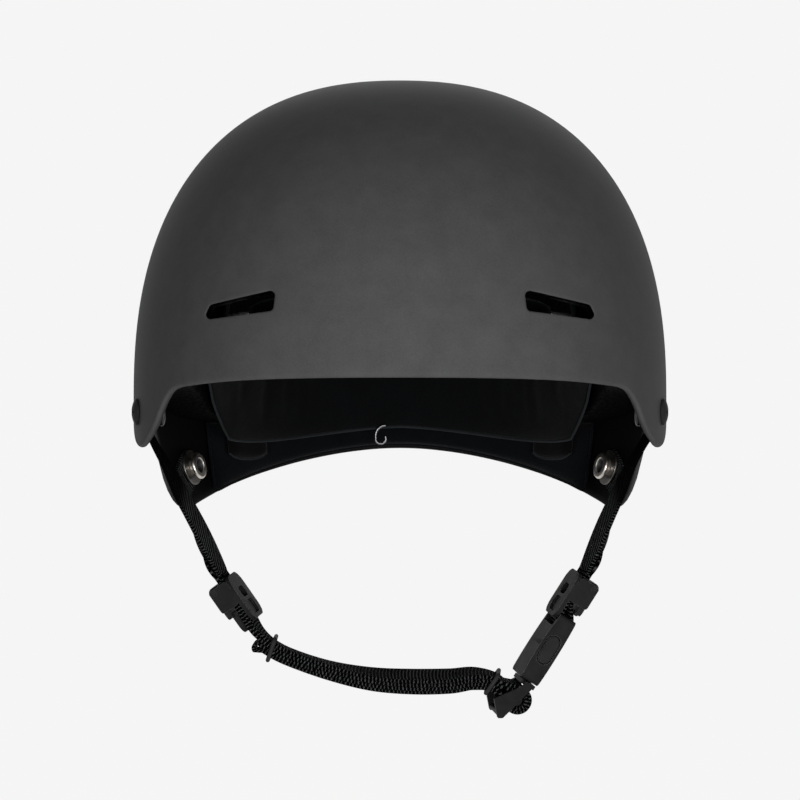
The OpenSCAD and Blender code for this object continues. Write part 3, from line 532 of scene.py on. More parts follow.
class Dome:
    """Collects the points and faces of a domed layer."""

    def __init__(self, columns, edge):
        self.points = []
        self.faces = []
        self.around = [360 * i / columns for i in range(columns)]
        self.edge = [curve_at(edge, latitude(phi)) for phi in self.around]

    def ring(self, points):
        first = len(self.points)
        self.points += points
        return list(range(first, first + len(points)))

    def join(self, upper, lower):
        n = len(upper)
        self.faces += [(upper[i], upper[(i + 1) % n], lower[(i + 1) % n], lower[i]) for i in range(n)]

    def surface(self, inset, lift, rings, lip, towards_wall):
        """One side of the layer from crown to edge, with four vents. Returns its edge and vent rings."""
        grid = []
        for k in range(1, rings + 1):
            share = 1 - (1 - k / rings) ** 1.25
            grid.append(self.ring([skin_at(phi, bend(z + lift, inset) * share, inset)
                                   for phi, z in zip(self.around, self.edge)]))
        tip = self.ring([skin_at(0, 0, inset)])[0]
        n = len(self.around)
        self.faces += [(tip, grid[0][i], grid[0][(i + 1) % n]) for i in range(n)]
        taken = set()
        vents = []
        for side in (-1, 1):
            for back in (False, True):
                vents.append(self.vent(grid, inset, side, back, lip, towards_wall, taken))
        for k in range(rings - 1):
            for i in range(n):
                if (k, i) not in taken:
                    j = (i + 1) % n
                    self.faces.append((grid[k][i], grid[k][j], grid[k + 1][j], grid[k + 1][i]))
        return grid[-1], vents

    def vent(self, grid, inset, side, back, lip, towards_wall, taken):
        """Cuts a vent into the grid and rounds its lip into the wall. Returns the ring at its mouth."""
        margin = 4
        rows = set()
        columns = set()
        for k, row in enumerate(grid):
            for i, index in enumerate(row):
                p = self.points[index]
                beside = VENT_IN - margin < side * p.x < VENT_OUT + margin
                level = abs(p.z - VENT_Z) < VENT_H / 2 + margin + 2
                if (p.y > 0) == back and beside and level:
                    rows.add(k)
                    columns.add(i)
        top, bottom = min(rows) - 1, max(rows) + 1
        left, right = min(columns) - 1, max(columns) + 1
        taken.update((k, i) for k in range(top, bottom) for i in range(left, right))
        rim = [grid[top][i] for i in range(left, right)] + [grid[k][right] for k in range(top, bottom)]
        rim += [grid[bottom][i] for i in range(right, left, -1)]
        rim += [grid[k][left] for k in range(bottom, top, -1)]
        clear = vent_ring(lip + 1.6, side)
        outline = vent_ring(lip, side)
        loose = [grid[k][i] for k in range(top + 1, bottom) for i in range(left + 1, right)]
        loose = [index for index in loose if not inside(clear, self.points[index].xz)]
        second = self.ring([skin_behind(p.x, p.y, inset, back) for p in vent_ring(lip + 0.8, side)])
        steps = 4
        rows_in = []
        for step in range(steps + 1):
            angle = 90 * step / steps
            deep = lip * (1 - cosine(angle)) * towards_wall * (-1 if back else 1)
            rows_in.append(self.ring([skin_behind(p.x, p.y, inset, back) + Vector((0, deep, 0))
                                      for p in vent_ring(lip * (1 - sine(angle)), side)]))
        used = rim + loose + second + rows_in[0]
        flat = [self.points[index].xz for index in used]
        start = len(used) - len(outline)
        bounds = [(i, (i + 1) % len(rim)) for i in range(len(rim))]
        bounds += [(start + i, start + (i + 1) % len(outline)) for i in range(len(outline))]
        spots, _, triangles, origin, _, _ = delaunay_2d_cdt(flat, bounds, [], 0, 1e-6)
        border = [flat[i] for i in range(len(rim))]
        for triangle in triangles:
            middle = sum((spots[i] for i in triangle), Vector((0, 0))) / 3
            if inside(border, middle) and not inside(outline, middle):
                self.faces.append(tuple(used[origin[i][0]] for i in triangle))
        for upper, lower in zip(rows_in, rows_in[1:]):
            self.join(upper, lower)
        return rows_in[-1]

    def tunnels(self, outer, inner, steps):
        """Joins the vents of both sides with straight walls."""
        for front, rear in zip(outer, inner):
            rows = [front]
            for k in range(1, steps):
                rows.append(self.ring([self.points[a].lerp(self.points[b], k / steps)
                                       for a, b in zip(front, rear)]))
            rows.append(rear)
            for upper, lower in zip(rows, rows[1:]):
                self.join(upper, lower)


def shell():
    """The moulded shell, with a rounded edge all the way round and softened vents."""
    dome = Dome(288, SHELL_EDGE)
    half = SHELL_T / 2
    outer, outer_vents = dome.surface(0, half, 60, 0.7, 1)
    depth = [0.0] * len(dome.points)
    inner, inner_vents = dome.surface(SHELL_T, half, 40, 0.5, -1)
    depth += [1.0] * (len(dome.points) - len(depth))
    rows = [outer]
    for angle in (22.5, 45, 67.5, 90, 112.5, 135, 157.5):
        rim = []
        for a, b in zip(outer, inner):
            middle = (dome.points[a] + dome.points[b]) / 2
            turned = (dome.points[a] - middle) * cosine(angle)
            rim.append(middle + turned + Vector((0, 0, -half * sine(angle))))
        rows.append(dome.ring(rim))
        depth += [angle / 180] * len(rim)
    rows.append(inner)
    for upper, lower in zip(rows, rows[1:]):
        dome.join(upper, lower)
    dome.tunnels(outer_vents, inner_vents, 3)
    depth += [0.5] * (len(dome.points) - len(depth))
    piece = make_piece("shell_skin", dome.points, dome.faces)
    piece.data.attributes.new("inner", "FLOAT", "POINT").data.foreach_set("value", depth)
    return piece


def liner():
    """The foam liner, with a soft edge and the vents' tunnels."""
    dome = Dome(240, LINER_EDGE)
    soft = 2.0
    outer, outer_vents = dome.surface(LINER_INSET, soft, 44, 0.6, 1)
    inner, inner_vents = dome.surface(CAVITY_INSET, soft, 40, 1.2, -1)
    rows = [outer]
    width = CAVITY_INSET - LINER_INSET

    def edge_row(first, second, share, drop):
        rows.append(dome.ring([dome.points[a].lerp(dome.points[b], share) - Vector((0, 0, drop))
                               for a, b in zip(first, second)]))

    for turn in (30, 60, 90):
        edge_row(outer, inner, soft * (1 - cosine(turn)) / width, soft * sine(turn))
    edge_row(outer, inner, 0.5, soft)
    for turn in (90, 60, 30):
        edge_row(inner, outer, soft * (1 - cosine(turn)) / width, soft * sine(turn))
    rows.append(inner)
    for upper, lower in zip(rows, rows[1:]):
        dome.join(upper, lower)
    dome.tunnels(outer_vents, inner_vents, 8)
    return make_piece("liner_foam", dome.points, dome.faces)


def wear(piece, material, slot, body, *stands_for):
    """Gives a piece its finish and body, and hides the CAD nodes that it stands for. slot is not used."""
    piece.data.materials.append(material)
    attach(piece, body)
    if stands_for:
        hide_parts(*stands_for)
    return piece


wear(shell(), SHELL, "shell_plastic", "helmet", "shell")
wear(liner(), FOAM, "liner_foam", "helmet", "foam_liner")


def tube(name, path, radius, closed=False, sides=10):
    """A round cord of piping along a path in millimetres."""
    points = []
    n = len(path)
    for i, p in enumerate(path):
        before = path[i - 1] if closed or i else p
        after = path[(i + 1) % n] if closed or i < n - 1 else p
        along = (after - before).normalized()
        if i == 0:
            side = along.orthogonal().normalized()
        else:
            side = (side - along * side.dot(along)).normalized()
        up = along.cross(side)
        for k in range(sides):
            angle = 360 * k / sides
            points.append(p + radius * (side * cosine(angle) + up * sine(angle)))
    faces = []
    for i in range(n if closed else n - 1):
        for k in range(sides):
            a = i * sides + k
            b = i * sides + (k + 1) % sides
            j = ((i + 1) % n) * sides
            faces.append((a, b, j + (k + 1) % sides, j + k))
    if not closed:
        faces.append(tuple(range(sides)))
        faces.append(tuple(range((n - 1) * sides, n * sides))[::-1])
    return make_piece(name, points, faces)


class Pad:
    """A stitched pad: a closed pillow over a patch of the cavity wall, puffed between its seams."""

    waiting = []

    def __init__(self, name, node, spot, cols, rows, thick, channels, slot, material, cap=1.6):
        """spot(u, v, height) is a point of the patch, with u and v from -1 to 1. channels are seams at u."""
        self.cap = cap
        points = []
        painted_highlight = []

        def rise(u, v):
            return thick * (0.3 + 0.6 * (1 - abs(u) ** 10) * (1 - abs(v) ** 6))

        for j in range(rows + 1):
            for i in range(cols + 1):
                u, v = -1 + 2 * i / cols, -1 + 2 * j / rows
                near = min([1.0] + [abs(u - c) * cols / 2 for c in channels])
                groove = 1 - 0.32 * (1 - smooth(near / 1.2)) * (1 - abs(v) ** 8)
                points.append(spot(u * 0.985, v * 0.97, rise(u, v) * groove))
                edge = abs(u) > 0.999 or abs(v) > 0.999
                painted_highlight.append(1.0 if edge or near < 0.6 else 0.0)
        front = len(points)
        for j in range(rows + 1):
            for i in range(cols + 1):
                u, v = -1 + 2 * i / cols, -1 + 2 * j / rows
                points.append(spot(u * 0.95, v * 0.92, 0.15))
                painted_highlight.append(1.0)
        faces = []
        wide = cols + 1
        for j in range(rows):
            for i in range(cols):
                a = j * wide + i
                faces.append((a, a + 1, a + wide + 1, a + wide))
                b = front + a
                faces.append((b, b + wide, b + wide + 1, b + 1))
        loop = list(range(cols)) + [j * wide + cols for j in range(rows)]
        loop += [rows * wide + i for i in range(cols, 0, -1)] + [j * wide for j in range(rows, 0, -1)]
        for a, b in zip(loop, loop[1:] + loop[:1]):
            faces.append((a, front + a, front + b, b))
        self.border = [points[k] for k in loop]
        self.piece = make_piece(name, points, faces)
        wear(self.piece, material, slot, "helmet", node)
        group = self.piece.vertex_groups.new(name="seams")
        for k, weight in enumerate(painted_highlight):
            if weight:
                group.add([k], weight, "REPLACE")
        Pad.waiting.append(self)

    def add_cloth(self):
        cloth = self.piece.modifiers.new("filling", "CLOTH")
        cloth.settings.vertex_group_mass = "seams"
        cloth.settings.use_pressure = True
        cloth.settings.uniform_pressure_force = 14
        cloth.settings.effector_weights.gravity = 0
        cloth.settings.tension_stiffness = 25
        cloth.settings.compression_stiffness = 25
        cloth.settings.shear_stiffness = 10
        cloth.settings.bending_stiffness = 0.6
        cloth.settings.mass = 0.25
        cloth.settings.quality = 4
        cloth.collision_settings.use_collision = False

    def keep_shape(self):
        """Takes over the puffed shape, with no point moved further than the cap."""
        evaluated = self.piece.evaluated_get(bpy.context.evaluated_depsgraph_get())
        moved = [v.co.copy() for v in evaluated.data.vertices]
        for vertex, place in zip(self.piece.data.vertices, moved):
            step = place - vertex.co
            if step.length > self.cap * MM:
                step = step * (self.cap * MM / step.length)
            vertex.co = vertex.co + step
        self.piece.modifiers.clear()


def fill_pads():
    """Puffs all the pads in one run of the cloth simulation."""
    for pad in Pad.waiting:
        pad.add_cloth()
    for step in range(1, 21):
        bpy.context.scene.frame_set(step)
    for pad in Pad.waiting:
        pad.keep_shape()
    bpy.context.scene.frame_set(1)
    for pad in Pad.waiting:
        rounded = pad.piece.modifiers.new("smooth", "SUBSURF")
        rounded.levels = 1
        rounded.render_levels = 1


def wall_spot(mid, reach, z_low, z_high, inset, sag=0.0, narrow=0.0, corner=7):
    """Places a point of a pad on the cavity wall, as the part's source does."""
    high = bend(z_high, inset)

    def spot(u, v, height):
        low = bend(z_low - sag * abs(u) ** 1.4, inset)
        phi = mid + reach * (1 - narrow * (1 + v) / 2) * u
        bent = (low + high) / 2 + (low - high) / 2 * v * (1 - 0.4 * abs(u) ** corner)
        return skin_at(phi, bent, inset + height)
    return spot


def piped_border(name, pad, slot, material, radius):
    """A cord of piping round a pad."""
    wear(tube(name, pad.border, radius, closed=True), material, slot, "helmet")


rear_pad = Pad("rear_pad_cloth", "rear_pad",
               wall_spot(90, 87, LINER_LOW - 3.5, 26, PAD_INSET, 16, 0.28, 2.8), 110, 28, PAD_T, [],
               "pad_cloth", PAD, 1.8)
brow_pad = Pad("brow_pad_cloth", "brow_pad", wall_spot(270, 46, 8, 32, PAD_INSET), 64, 16, PAD_T,
               [-0.35, 0.35], "pad_cloth", PAD)
side_pads = [Pad(f"side_pad_{side}_cloth", f"side_pad_{side}", wall_spot(middle, 13, 12, 44, PAD_INSET),
                 30, 16, PAD_T, [0.0], "pad_cloth", PAD)
             for side, middle in (("left", -18), ("right", 198))]
spacers = [Pad(f"spacer_pad_{side}_cloth", f"spacer_pad_{side}",
               wall_spot(90 - turn * 43, 7, LINER_LOW - 17, LINER_LOW - 2, NAPE_INSET + 7.6, 0, 0, 3),
               20, 12, 5.0, [], "nape_cloth", SPACER_CLOTH, 1.0)
           for side, turn in (("left", 1), ("right", -1))]


def nape_spot(u, v, height):
    """Places a point of the nape pad between the liner's edge and the shell's."""
    phi = mix(37, 143, (u + 1) / 2)
    lat = latitude(phi)
    top = LINER_LOW - 0.6
    foot = curve_at(SHELL_EDGE, lat) + 1.6
    bent = bend(mix(top, foot, (v + 1) / 2), 0)
    return skin_at(phi, bent, NAPE_INSET + height * smooth((lat - 34) / 6))


nape_pad = Pad("nape_pad_cloth", "nape_pad", nape_spot, 90, 14, 7.0, [], "nape_cloth", NAPE_CLOTH, 1.0)


def crown_spot(u, v, height):
    """A round pad under the crown, from a square patch bent into a disc."""
    x = u * math.sqrt(max(0, 1 - v * v / 2))
    y = v * math.sqrt(max(0, 1 - u * u / 2))
    around = math.degrees(math.atan2(y, x)) if abs(x) + abs(y) > 1e-9 else 0
    return skin_at(around, 24.5 * math.hypot(x, y), PAD_INSET + height)


crown_pad = Pad("crown_pad_cloth", "crown_pad", crown_spot, 36, 36, 8.0, [-0.33, 0.33], "pad_cloth", PAD)
fill_pads()
piped_border("rear_pad_piping", rear_pad, "pad_cloth", PIPING, 0.55)
piped_border("brow_pad_piping", brow_pad, "pad_cloth", PIPING, 0.7)
piped_border("crown_pad_piping", crown_pad, "pad_cloth", PIPING, 0.8)
piped_border("nape_pad_piping", nape_pad, "nape_cloth", NAPE_CLOTH, 0.6)
# A light cord along the lower edge of each spacer pad: a painted highlight there, not a sewn seam.
for pad, side in zip(spacers, ("left", "right")):
    painted_highlight = tube(f"spacer_pad_{side}_seam", pad.border[32:53], 0.35)
    wear(painted_highlight, PIPING, "nape_cloth", "helmet")
for pad, side in zip(side_pads, ("left", "right")):
    piped_border(f"side_pad_{side}_piping", pad, "pad_cloth", PIPING, 0.7)

# The harness, placed as in the part's source
SWING_AT = Vector((-97, 0, -10))
BUCKLE_AT = Vector((58.6, 0, -108.3))
BUCKLE_LEAN = math.degrees(math.atan2(SWING_AT.z - BUCKLE_AT.z, BUCKLE_AT.x - SWING_AT.x))
DIVIDER_LOW, DIVIDER_TOP = -10.5, 10.0
DIVIDER_OVERLAP = 2.6
DIVIDER_RISE = SOCKET_L / 2 - DIVIDER_LOW - DIVIDER_OVERLAP
DIVIDER_LEAN_RIGHT = 35.0
PLATE_X = -(SOCKET_T / 2 - PLATE_SINK + PLATE_GAP + PLATE_T)
INNER_LAYER_X = PLATE_X + PLATE_T + PLATE_GAP + WEB_T / 2
OUTER_LAYER_X = INNER_LAYER_X + STACK
STRAP_END_Z = 6.0


def out_dir(side, lean):
    """Across the thickness of the webbing in a divider or the buckle, away from the wearer."""
    return Vector((side * cosine(lean) * cosine(HARNESS_TWIST), sine(HARNESS_TWIST),
                   -sine(lean) * cosine(HARNESS_TWIST)))


def wide_dir(side, lean):
    """Across the width of that webbing."""
    return Vector((-side * cosine(lean) * sine(HARNESS_TWIST), cosine(HARNESS_TWIST),
                   sine(lean) * sine(HARNESS_TWIST)))


def up_dir(side, lean):
    """Along that webbing, upwards."""
    return Vector((side * sine(lean), 0, cosine(lean)))


DIVIDER_AT = {1: BUCKLE_AT + DIVIDER_RISE * up_dir(1, BUCKLE_LEAN), -1: Vector((-67.5, 0, -90.3))}
DIVIDER_LEAN = {1: BUCKLE_LEAN, -1: DIVIDER_LEAN_RIGHT}


def in_frame(side, at, lean, x, z):
    """A point of a divider or the buckle, from its own middle."""
    return at + x * out_dir(side, lean) + z * up_dir(side, lean)


def bezier(a, b, c, d, t):
    u = 1 - t
    return a * u ** 3 + 3 * b * t * u * u + 3 * c * t * t * u + d * t ** 3


def stations_of(path, wide):
    """Stations of centre, width direction and normal along a path."""
    stations = []
    for i, p in enumerate(path):
        along = (path[min(len(path) - 1, i + 1)] - path[max(0, i - 1)]).normalized()
        across = (wide[i] - along * wide[i].dot(along)).normalized()
        stations.append((p, across, along.cross(across)))
    return stations


def section(width, thick):
    """Cross-section of webbing: flat faces and rounded edges."""
    half = width / 2
    side = [(0.93, 0.96), (0.975, 0.82), (0.995, 0.45), (1.0, 0.0)]
    top = [(-1, 0.0)] + [(-x, y) for x, y in side[2::-1]] + [(x, 1.0) for x in (-0.8, -0.4, 0, 0.4, 0.8)]
    top += side[:3]
    bottom = [(-x, -y) for x, y in top]
    return [(x * half, y * thick / 2) for x, y in top + bottom]


def webbing(name, stations, starts=(), dark=0.0):
    """A strip of webbing through stations. starts narrows the first ones, and dark is an unlit length."""
    shape = section(WEB_W, WEB_T)
    n = len(shape)
    points = []
    marks = []
    clear_of_painted_shade = []
    run = 0.0
    for i, (centre, across, up) in enumerate(stations):
        share = starts[i] if i < len(starts) else 1
        run += (centre - stations[i - 1][0]).length if i else 0
        for x, y in shape:
            points.append(centre + across * x * share + up * y)
            marks += [x, run, y]
            # 0 over the strip's dark start and rising to 1 after it: painted shade.
            clear_of_painted_shade.append(smooth((run - dark + 6) / 12) if dark else 1.0)
    faces = []
    for i in range(len(stations) - 1):
        for k in range(n):
            a = i * n + k
            b = i * n + (k + 1) % n
            faces.append((a, b, b + n, a + n))
    faces.append(tuple(range(n)))
    faces.append(tuple(range(len(points) - n, len(points)))[::-1])
    piece = make_piece(name, points, faces)
    piece.data.attributes.new("weave", "FLOAT_VECTOR", "POINT").data.foreach_set("vector", marks)
    piece.data.attributes.new("clear_of_painted_shade", "FLOAT", "POINT").data.foreach_set("value", clear_of_painted_shade)
    return piece


FRONT_LAT, REAR_LAT = -16.5, 28.0
FRONT_SCREW_Z, REAR_SCREW_Z = -13, -38
STRAP_IN = SHELL_T + 0.75
WASHER_D = 15.0
# How far straps bow sideways at the top and at the foot, on the wearer's left (1) and right (-1)
FRONT_SLACK = {1: -6.5, -1: 3}
FRONT_APART = {1: -1, -1: 2}
REAR_APART = 1.1
# How far the front straps' painted shade reaches down from their anchors, in millimetres.
DARK_START = 52


def anchor(side, rear):
    """A screw's place on the skin and the skin's normal there."""
    lat = REAR_LAT if rear else FRONT_LAT
    phi = lat if side > 0 else 180 - lat
    bent = bend(REAR_SCREW_Z if rear else FRONT_SCREW_Z, 0)
    return skin_at(phi, bent, 0), normal_at(phi, bent)


def yoke_strap(side, rear):
    """One strap from its anchor down to the divider, rolling on its way, and how narrow it starts."""
    spot, out = anchor(side, rear)
    start = spot - out * (STRAP_IN + WEB_T / 2)
    lean = DIVIDER_LEAN[side]
    layer_x = OUTER_LAYER_X if rear else INNER_LAYER_X
    end = in_frame(side, DIVIDER_AT[side], lean, layer_x, STRAP_END_Z)
    mouth = in_frame(side, DIVIDER_AT[side], lean, layer_x, DIVIDER_TOP + 2)
    up = up_dir(side, lean)
    apart = out_dir(side, lean) * REAR_APART if rear else Vector((FRONT_APART[side], 0, 0))
    slack = Vector((0 if rear else FRONT_SLACK[side], 0, 0))
    pull = mouth + up * 10 - start
    lead = (pull - out * pull.dot(out)).normalized()
    free = start + lead * (WASHER_D / 2 + 0.5)
    steps = 66
    held = [start + lead * d for d in (-WASHER_D / 2 - 0.2, -WASHER_D / 2 + 1.2, -WASHER_D / 2 + 4, 0, 4)]
    hang = [bezier(free, free + lead * 8 + slack, mouth + up * 6 + apart, mouth, k / steps)
            for k in range(steps + 1)]
    path = held + hang + [mouth.lerp(end, 0.5), end]
    wide_top = lead.cross(out).normalized()
    wide_top = -wide_top if wide_top.y < 0 else wide_top
    wide = []
    for i in range(len(path)):
        t = keep((i - len(held)) / steps, 0, 1)
        along = (path[min(len(path) - 1, i + 1)] - path[max(0, i - 1)]).normalized()
        if rear:
            roll = 20 * sine(180 * t ** 1.2) ** 2
        else:
            roll = -12 * smooth((t - 0.2) / 0.25) * smooth((1 - t) / 0.4)
        turn = Matrix.Rotation(math.radians(side * roll), 3, along)
        wide.append(turn @ wide_top.lerp(wide_dir(side, lean), smooth((t - 0.4) / 0.6)))
    return stations_of(path, wide), (0.5, 0.75, 0.95)


for side, side_name in ((1, "left"), (-1, "right")):
    for rear, row in ((False, "front"), (True, "rear")):
        stations, starts = yoke_strap(side, rear)
        strap = webbing(f"{row}_strap_{side_name}_webbing", stations, starts, 0 if rear else DARK_START)
        strap.data.materials.append(WEB)
        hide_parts(f"{row}_strap_{side_name}")
        if side > 0:
            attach(strap, "helmet")
        else:
            top = stations[len(starts) + 4][0] * MM
            foot = stations[-4][0] * MM
            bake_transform(strap)


def socket_web():
    """The short loop of webbing round the socket's bar."""
    turn_r = SEWN_BAR_R + 0.3 + WEB_T / 2
    bar_z = SOCKET_L / 2 - 1.6
    top = DIVIDER_RISE + STRAP_END_Z - 0.3
    leave = DIVIDER_RISE - 2
    steps = 12

    def side_run(layer_x, turn_x):
        return [(mix(layer_x, turn_x, smooth(k / steps)), mix(leave, bar_z, k / steps))
                for k in range(steps)]

    turn = [(turn_r * cosine(a), bar_z - turn_r * sine(a)) for a in range(0, 181, 12)]
    flat = [(OUTER_LAYER_X, top), (OUTER_LAYER_X, (top + leave) / 2)] + side_run(OUTER_LAYER_X, turn_r)
    flat += turn + side_run(INNER_LAYER_X, -turn_r)[::-1]
    flat += [(INNER_LAYER_X, (top + leave) / 2), (INNER_LAYER_X, top)]
    path = [in_frame(1, BUCKLE_AT, BUCKLE_LEAN, x, z) for x, z in flat]
    return stations_of(path, [wide_dir(1, BUCKLE_LEAN)] * len(path))


wear(webbing("socket_web_webbing", socket_web()), WEB, "webbing", "helmet", "socket_web")

# Chin webbing, as the part's source routes it
CHIN_ROUTE = [Vector(p) for p in (
    (-62.7, -97), (-58.6, -103.4), (-52.8, -108.5), (-44.5, -112.8), (-29, -118), (-12, -121.5),
    (4, -122.6), (20, -122.4), (30.2, -121.3), (39.4, -123.6))]
CHIN_LAST_SLOPE = Vector((7.2, -5.6))
CHIN_TURNS = [(0, 0), (1.8, -7.5), (3, -9), (4, -6.5), (5.2, 2), (6.5, 5), (8, 0), (9, -6)]
CHIN_END = len(CHIN_ROUTE) - 1
FOLD_S, FOLD_R = 1.85, 1.7
NECK_Z = -SOCKET_L / 2 - 0.5
BAR_Z = NECK_Z - 8.5
LOOP_X = 1.0
TURN_R = PLUG_BAR_R + 0.55 + WEB_T / 2 + STACK / 2


def route_slope(i):
    if i == 0:
        return CHIN_ROUTE[1] - CHIN_ROUTE[0]
    return CHIN_LAST_SLOPE if i == CHIN_END else (CHIN_ROUTE[i + 1] - CHIN_ROUTE[i - 1]) / 2


def route_at(s):
    """The chin webbing's middle line in the front view, with the route's points at whole s."""
    i = int(keep(math.floor(s), 0, CHIN_END - 1))
    t = s - i
    u = 1 - t
    return (CHIN_ROUTE[i] * (1 + 2 * t) * u * u + route_slope(i) * t * u * u
            + CHIN_ROUTE[i + 1] * (3 - 2 * t) * t * t - route_slope(i + 1) * t * t * u)


def chin_along(s):
    """The way the webbing runs at a place on its route."""
    q = (route_at(s + 0.02) - route_at(s - 0.02)).normalized()
    return Vector((q.x, 0, q.y))


def chin_twist(s):
    return HARNESS_TWIST + curve_at(CHIN_TURNS, s)


def chin_up(s):
    q, a = chin_along(s), chin_twist(s)
    return Vector((-q.z * cosine(a), -sine(a), q.x * cosine(a)))


def chin_wide(s):
    q, a = chin_along(s), chin_twist(s)
    return Vector((-q.z * sine(a), cosine(a), q.x * sine(a)))


def chin_spot(s, offset):
    """A point of the webbing, moved out from its middle layer by an offset."""
    p = route_at(s)
    return Vector((p.x, -1.4 * smooth((s - 6) / 3), p.y)) + chin_up(s) * offset


def plug_point(x, z):
    """A point of the plug, in the buckle's own frame."""
    return in_frame(1, BUCKLE_AT, BUCKLE_LEAN, x, z)


def chin_run(start, side):
    """One layer of the double webbing along the route, from a place on it to the plug."""
    fine = 7
    first = math.ceil(start * fine)
    return [(chin_spot(k / fine, side * STACK), chin_wide(k / fine))
            for k in range(first, CHIN_END * fine + 1)]


def into_loop(side):
    """A layer's way from the route's end on to the plug's bar."""
    a = chin_spot(CHIN_END, side * STACK)
    b = plug_point(LOOP_X, BAR_Z + side * TURN_R)
    back = plug_point(LOOP_X - (4 if side > 0 else 7), BAR_Z + side * TURN_R)
    handle = a + 3 * chin_along(CHIN_END)
    steps = 10
    return [(bezier(a, handle, back, b, k / steps),
             chin_wide(CHIN_END).lerp(wide_dir(1, BUCKLE_LEAN), k / steps)) for k in range(1, steps + 1)]


def chin_web():
    """Double webbing from the divider to the plug, round its bar and back, folded over at its end."""
    width = wide_dir(-1, DIVIDER_LEAN_RIGHT)
    middle_x = (INNER_LAYER_X + OUTER_LAYER_X) / 2
    line = [(in_frame(-1, DIVIDER_AT[-1], DIVIDER_LEAN_RIGHT, middle_x, z), width)
            for z in (STRAP_END_Z - 0.3, 3, 0)]
    line += chin_run(0.2, 1) + into_loop(1)
    line += [(plug_point(LOOP_X + TURN_R * cosine(a), BAR_Z + TURN_R * sine(a)), wide_dir(1, BUCKLE_LEAN))
             for a in range(80, -81, -10)]
    line += into_loop(-1)[::-1] + chin_run(FOLD_S, -1)[::-1]
    middle = stations_of([p[0] for p in line], [p[1] for p in line])
    inner = [(c - up * STACK / 2, across, up) for c, across, up in middle]
    outer = [(c + up * STACK / 2, across, -up) for c, across, up in middle][::-1]
    along = chin_along(FOLD_S)
    hub = chin_spot(FOLD_S, -0.5 * STACK - FOLD_R - 0.1) - 2.6 * along
    fold = []
    for a in range(80, -81, -10):
        ray = chin_up(FOLD_S) * sine(a) - along * cosine(a)
        fold.append((hub + FOLD_R * ray, chin_wide(FOLD_S), -ray))
    return inner + fold + outer


wear(webbing("chin_web_webbing", chin_web()), WEB, "webbing", "chin_half", "chin_web")

# The front nuts' metal is painted dark as shade; the rear nuts keep the plate's own tone.
FRONT_NUT = nut_finish("front_nut_painted_shade", *anchor(1, False), grey(0.03), grey(0.06))
REAR_NUT = nut_finish("rear_nut_plate", *anchor(1, True), (0.36, 0.33, 0.30, 1), (0.68, 0.64, 0.59, 1))

# Hardware that keeps its CAD shape: each node's finish, and the most that its edges soften in millimetres
HARDWARE = {
    "divider_frame_left": (BUCKLE, 0.7),
    "divider_frame_right": (BUCKLE, 0.7),
    "divider_lever_left": (LEVER, 0.55),
    "divider_lever_right": (LEVER, 0.55),
    "buckle_socket": (BUCKLE, 0.7),
    "buckle_plug": (BUCKLE, 0.7),
    "prong_front": (LEVER, 0.55),
    "prong_rear": (LEVER, 0.55),
    "front_anchor_screws": (SCREW, 0.15),
    "rear_anchor_screws": (SCREW, 0.15),
    "front_anchor_washers": (WASHER, 0.12),
    "rear_anchor_washers": (WASHER, 0.12),
    "front_barrel_nuts": (FRONT_NUT, 0.1),
    "rear_barrel_nuts": (REAR_NUT, 0.1),
    "keeper_ring_plug_end": (RUBBER, 0),
    "keeper_ring_fold_end": (RUBBER, 0),
    "nape_ring": (WIRE, 0),
    "hook_discs": (HOOKS, 0.15),
}
for name, (material, soften) in HARDWARE.items():
    part = nodes[name]
    part.data.materials.clear()
    part.data.materials.append(material)
    if soften:
        # The softened edges of the satin parts take the lighter satin: painted highlight.
        part.data.materials.append(EDGE_PAINTED_HIGHLIGHT if material in (BUCKLE, LEVER) else material)
        # The faces come apart at sharp edges, so they're joined first. Where edges lie close together
        # the bevel holds itself back, which leaves most edges far narrower than the width given.
        part.modifiers.new("joined_faces", "WELD").merge_threshold = 0.01 * MM
        edge = part.modifiers.new("softened_edges", "BEVEL")
        edge.width = soften * MM
        edge.segments = 3
        edge.material = 1
        edge.limit_method = "ANGLE"
        edge.angle_limit = math.radians(35)
        edge.harden_normals = True


# The background's tone in the photograph, and the floor's height in metres
PALE = 0.913
FLOOR_Z = -0.42


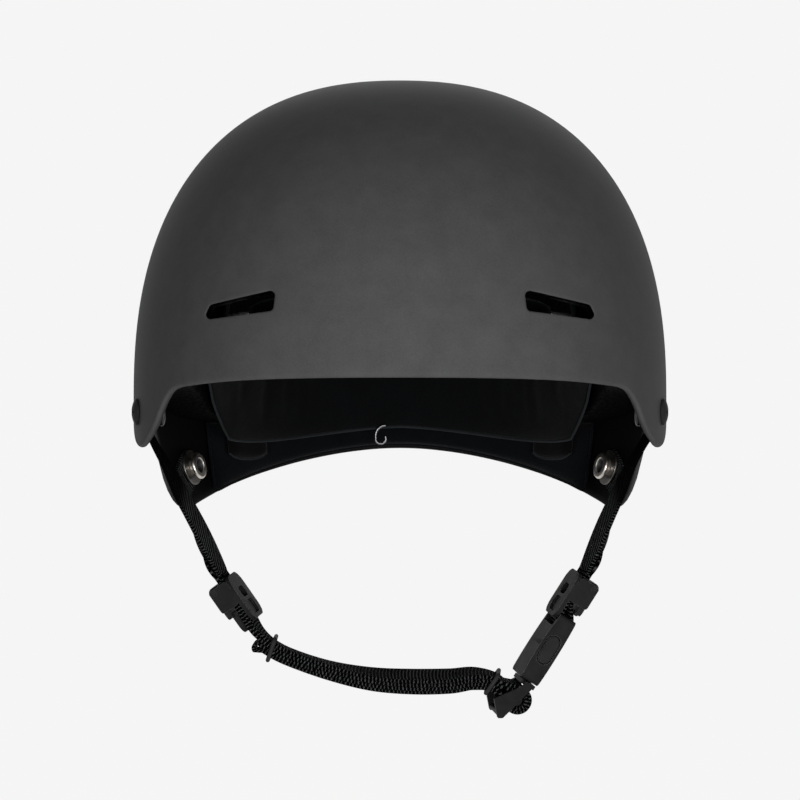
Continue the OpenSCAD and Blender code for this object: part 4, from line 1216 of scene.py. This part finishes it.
def stage():
    """A pale floor well below the hanging strap and a pale world, both seen at the photograph's tone."""
    mesh = bpy.data.meshes.new("pale_floor")
    mesh.from_pydata([(-12, -12, FLOOR_Z), (12, -12, FLOOR_Z), (12, 20, FLOOR_Z), (-12, 20, FLOOR_Z)],
                     [], [(0, 1, 2, 3)])
    floor = bpy.data.objects.new("pale_floor", mesh)
    bpy.context.scene.collection.objects.link(floor)
    finish = Finish("pale_floor", Base_Color=(0.8, 0.8, 0.8, 1), Roughness=0.9, Specular_IOR_Level=0.0)
    glow = finish.signal("ShaderNodeEmission", {}, {"Color": grey(1), "Strength": 1.0})
    lit = Signal(finish, finish.shader.outputs[0])
    finish.show("Material Output", finish.signal("ShaderNodeMixShader", {}, {
        "Fac": finish.seen() * 0.908, 1: lit, 2: glow}))
    mesh.materials.append(finish.material)

    world = bpy.data.worlds.new("pale_studio")
    tree = Tree(world)
    tree.nodes.remove(tree.nodes["Background"])
    sky = tree.signal("ShaderNodeBackground", {}, {"Color": grey(0.9), "Strength": 0.07})
    backdrop = tree.signal("ShaderNodeBackground", {}, {"Color": grey(PALE), "Strength": 1.0})
    tree.show("World Output", tree.signal("ShaderNodeMixShader", {}, {
        "Fac": tree.seen(), 1: sky, 2: backdrop}))
    bpy.context.scene.world = world


stage()

# Soft lamps: place and aim in metres, size in metres, and power in watts
LAMPS = {
    "right_soft_light": ((0.20, -0.70, -0.13), (0.02, 0, 0.03), (0.26, 0.3), 3.7),
    "left_soft_light": ((-0.26, -0.72, -0.13), (-0.02, 0, 0.03), (0.26, 0.3), 1.9),
    "top_soft_light": ((0, -0.2, 1.4), (0, 0, 0.05), (0.9, 0.7), 3.5),
    "rear_soft_light": ((0.2, 1.4, 1.0), (0, 0, 0), (1.2, 0.9), 3),
}
for name, (place, aim, size, power) in LAMPS.items():
    data = bpy.data.lights.new(name, "AREA")
    data.shape = "RECTANGLE"
    data.size, data.size_y = size
    data.energy = power
    lamp = bpy.data.objects.new(name, data)
    lamp.location = place
    lamp.rotation_euler = (Vector(aim) - Vector(place)).to_track_quat("-Z", "Y").to_euler()
    bpy.context.scene.collection.objects.link(lamp)
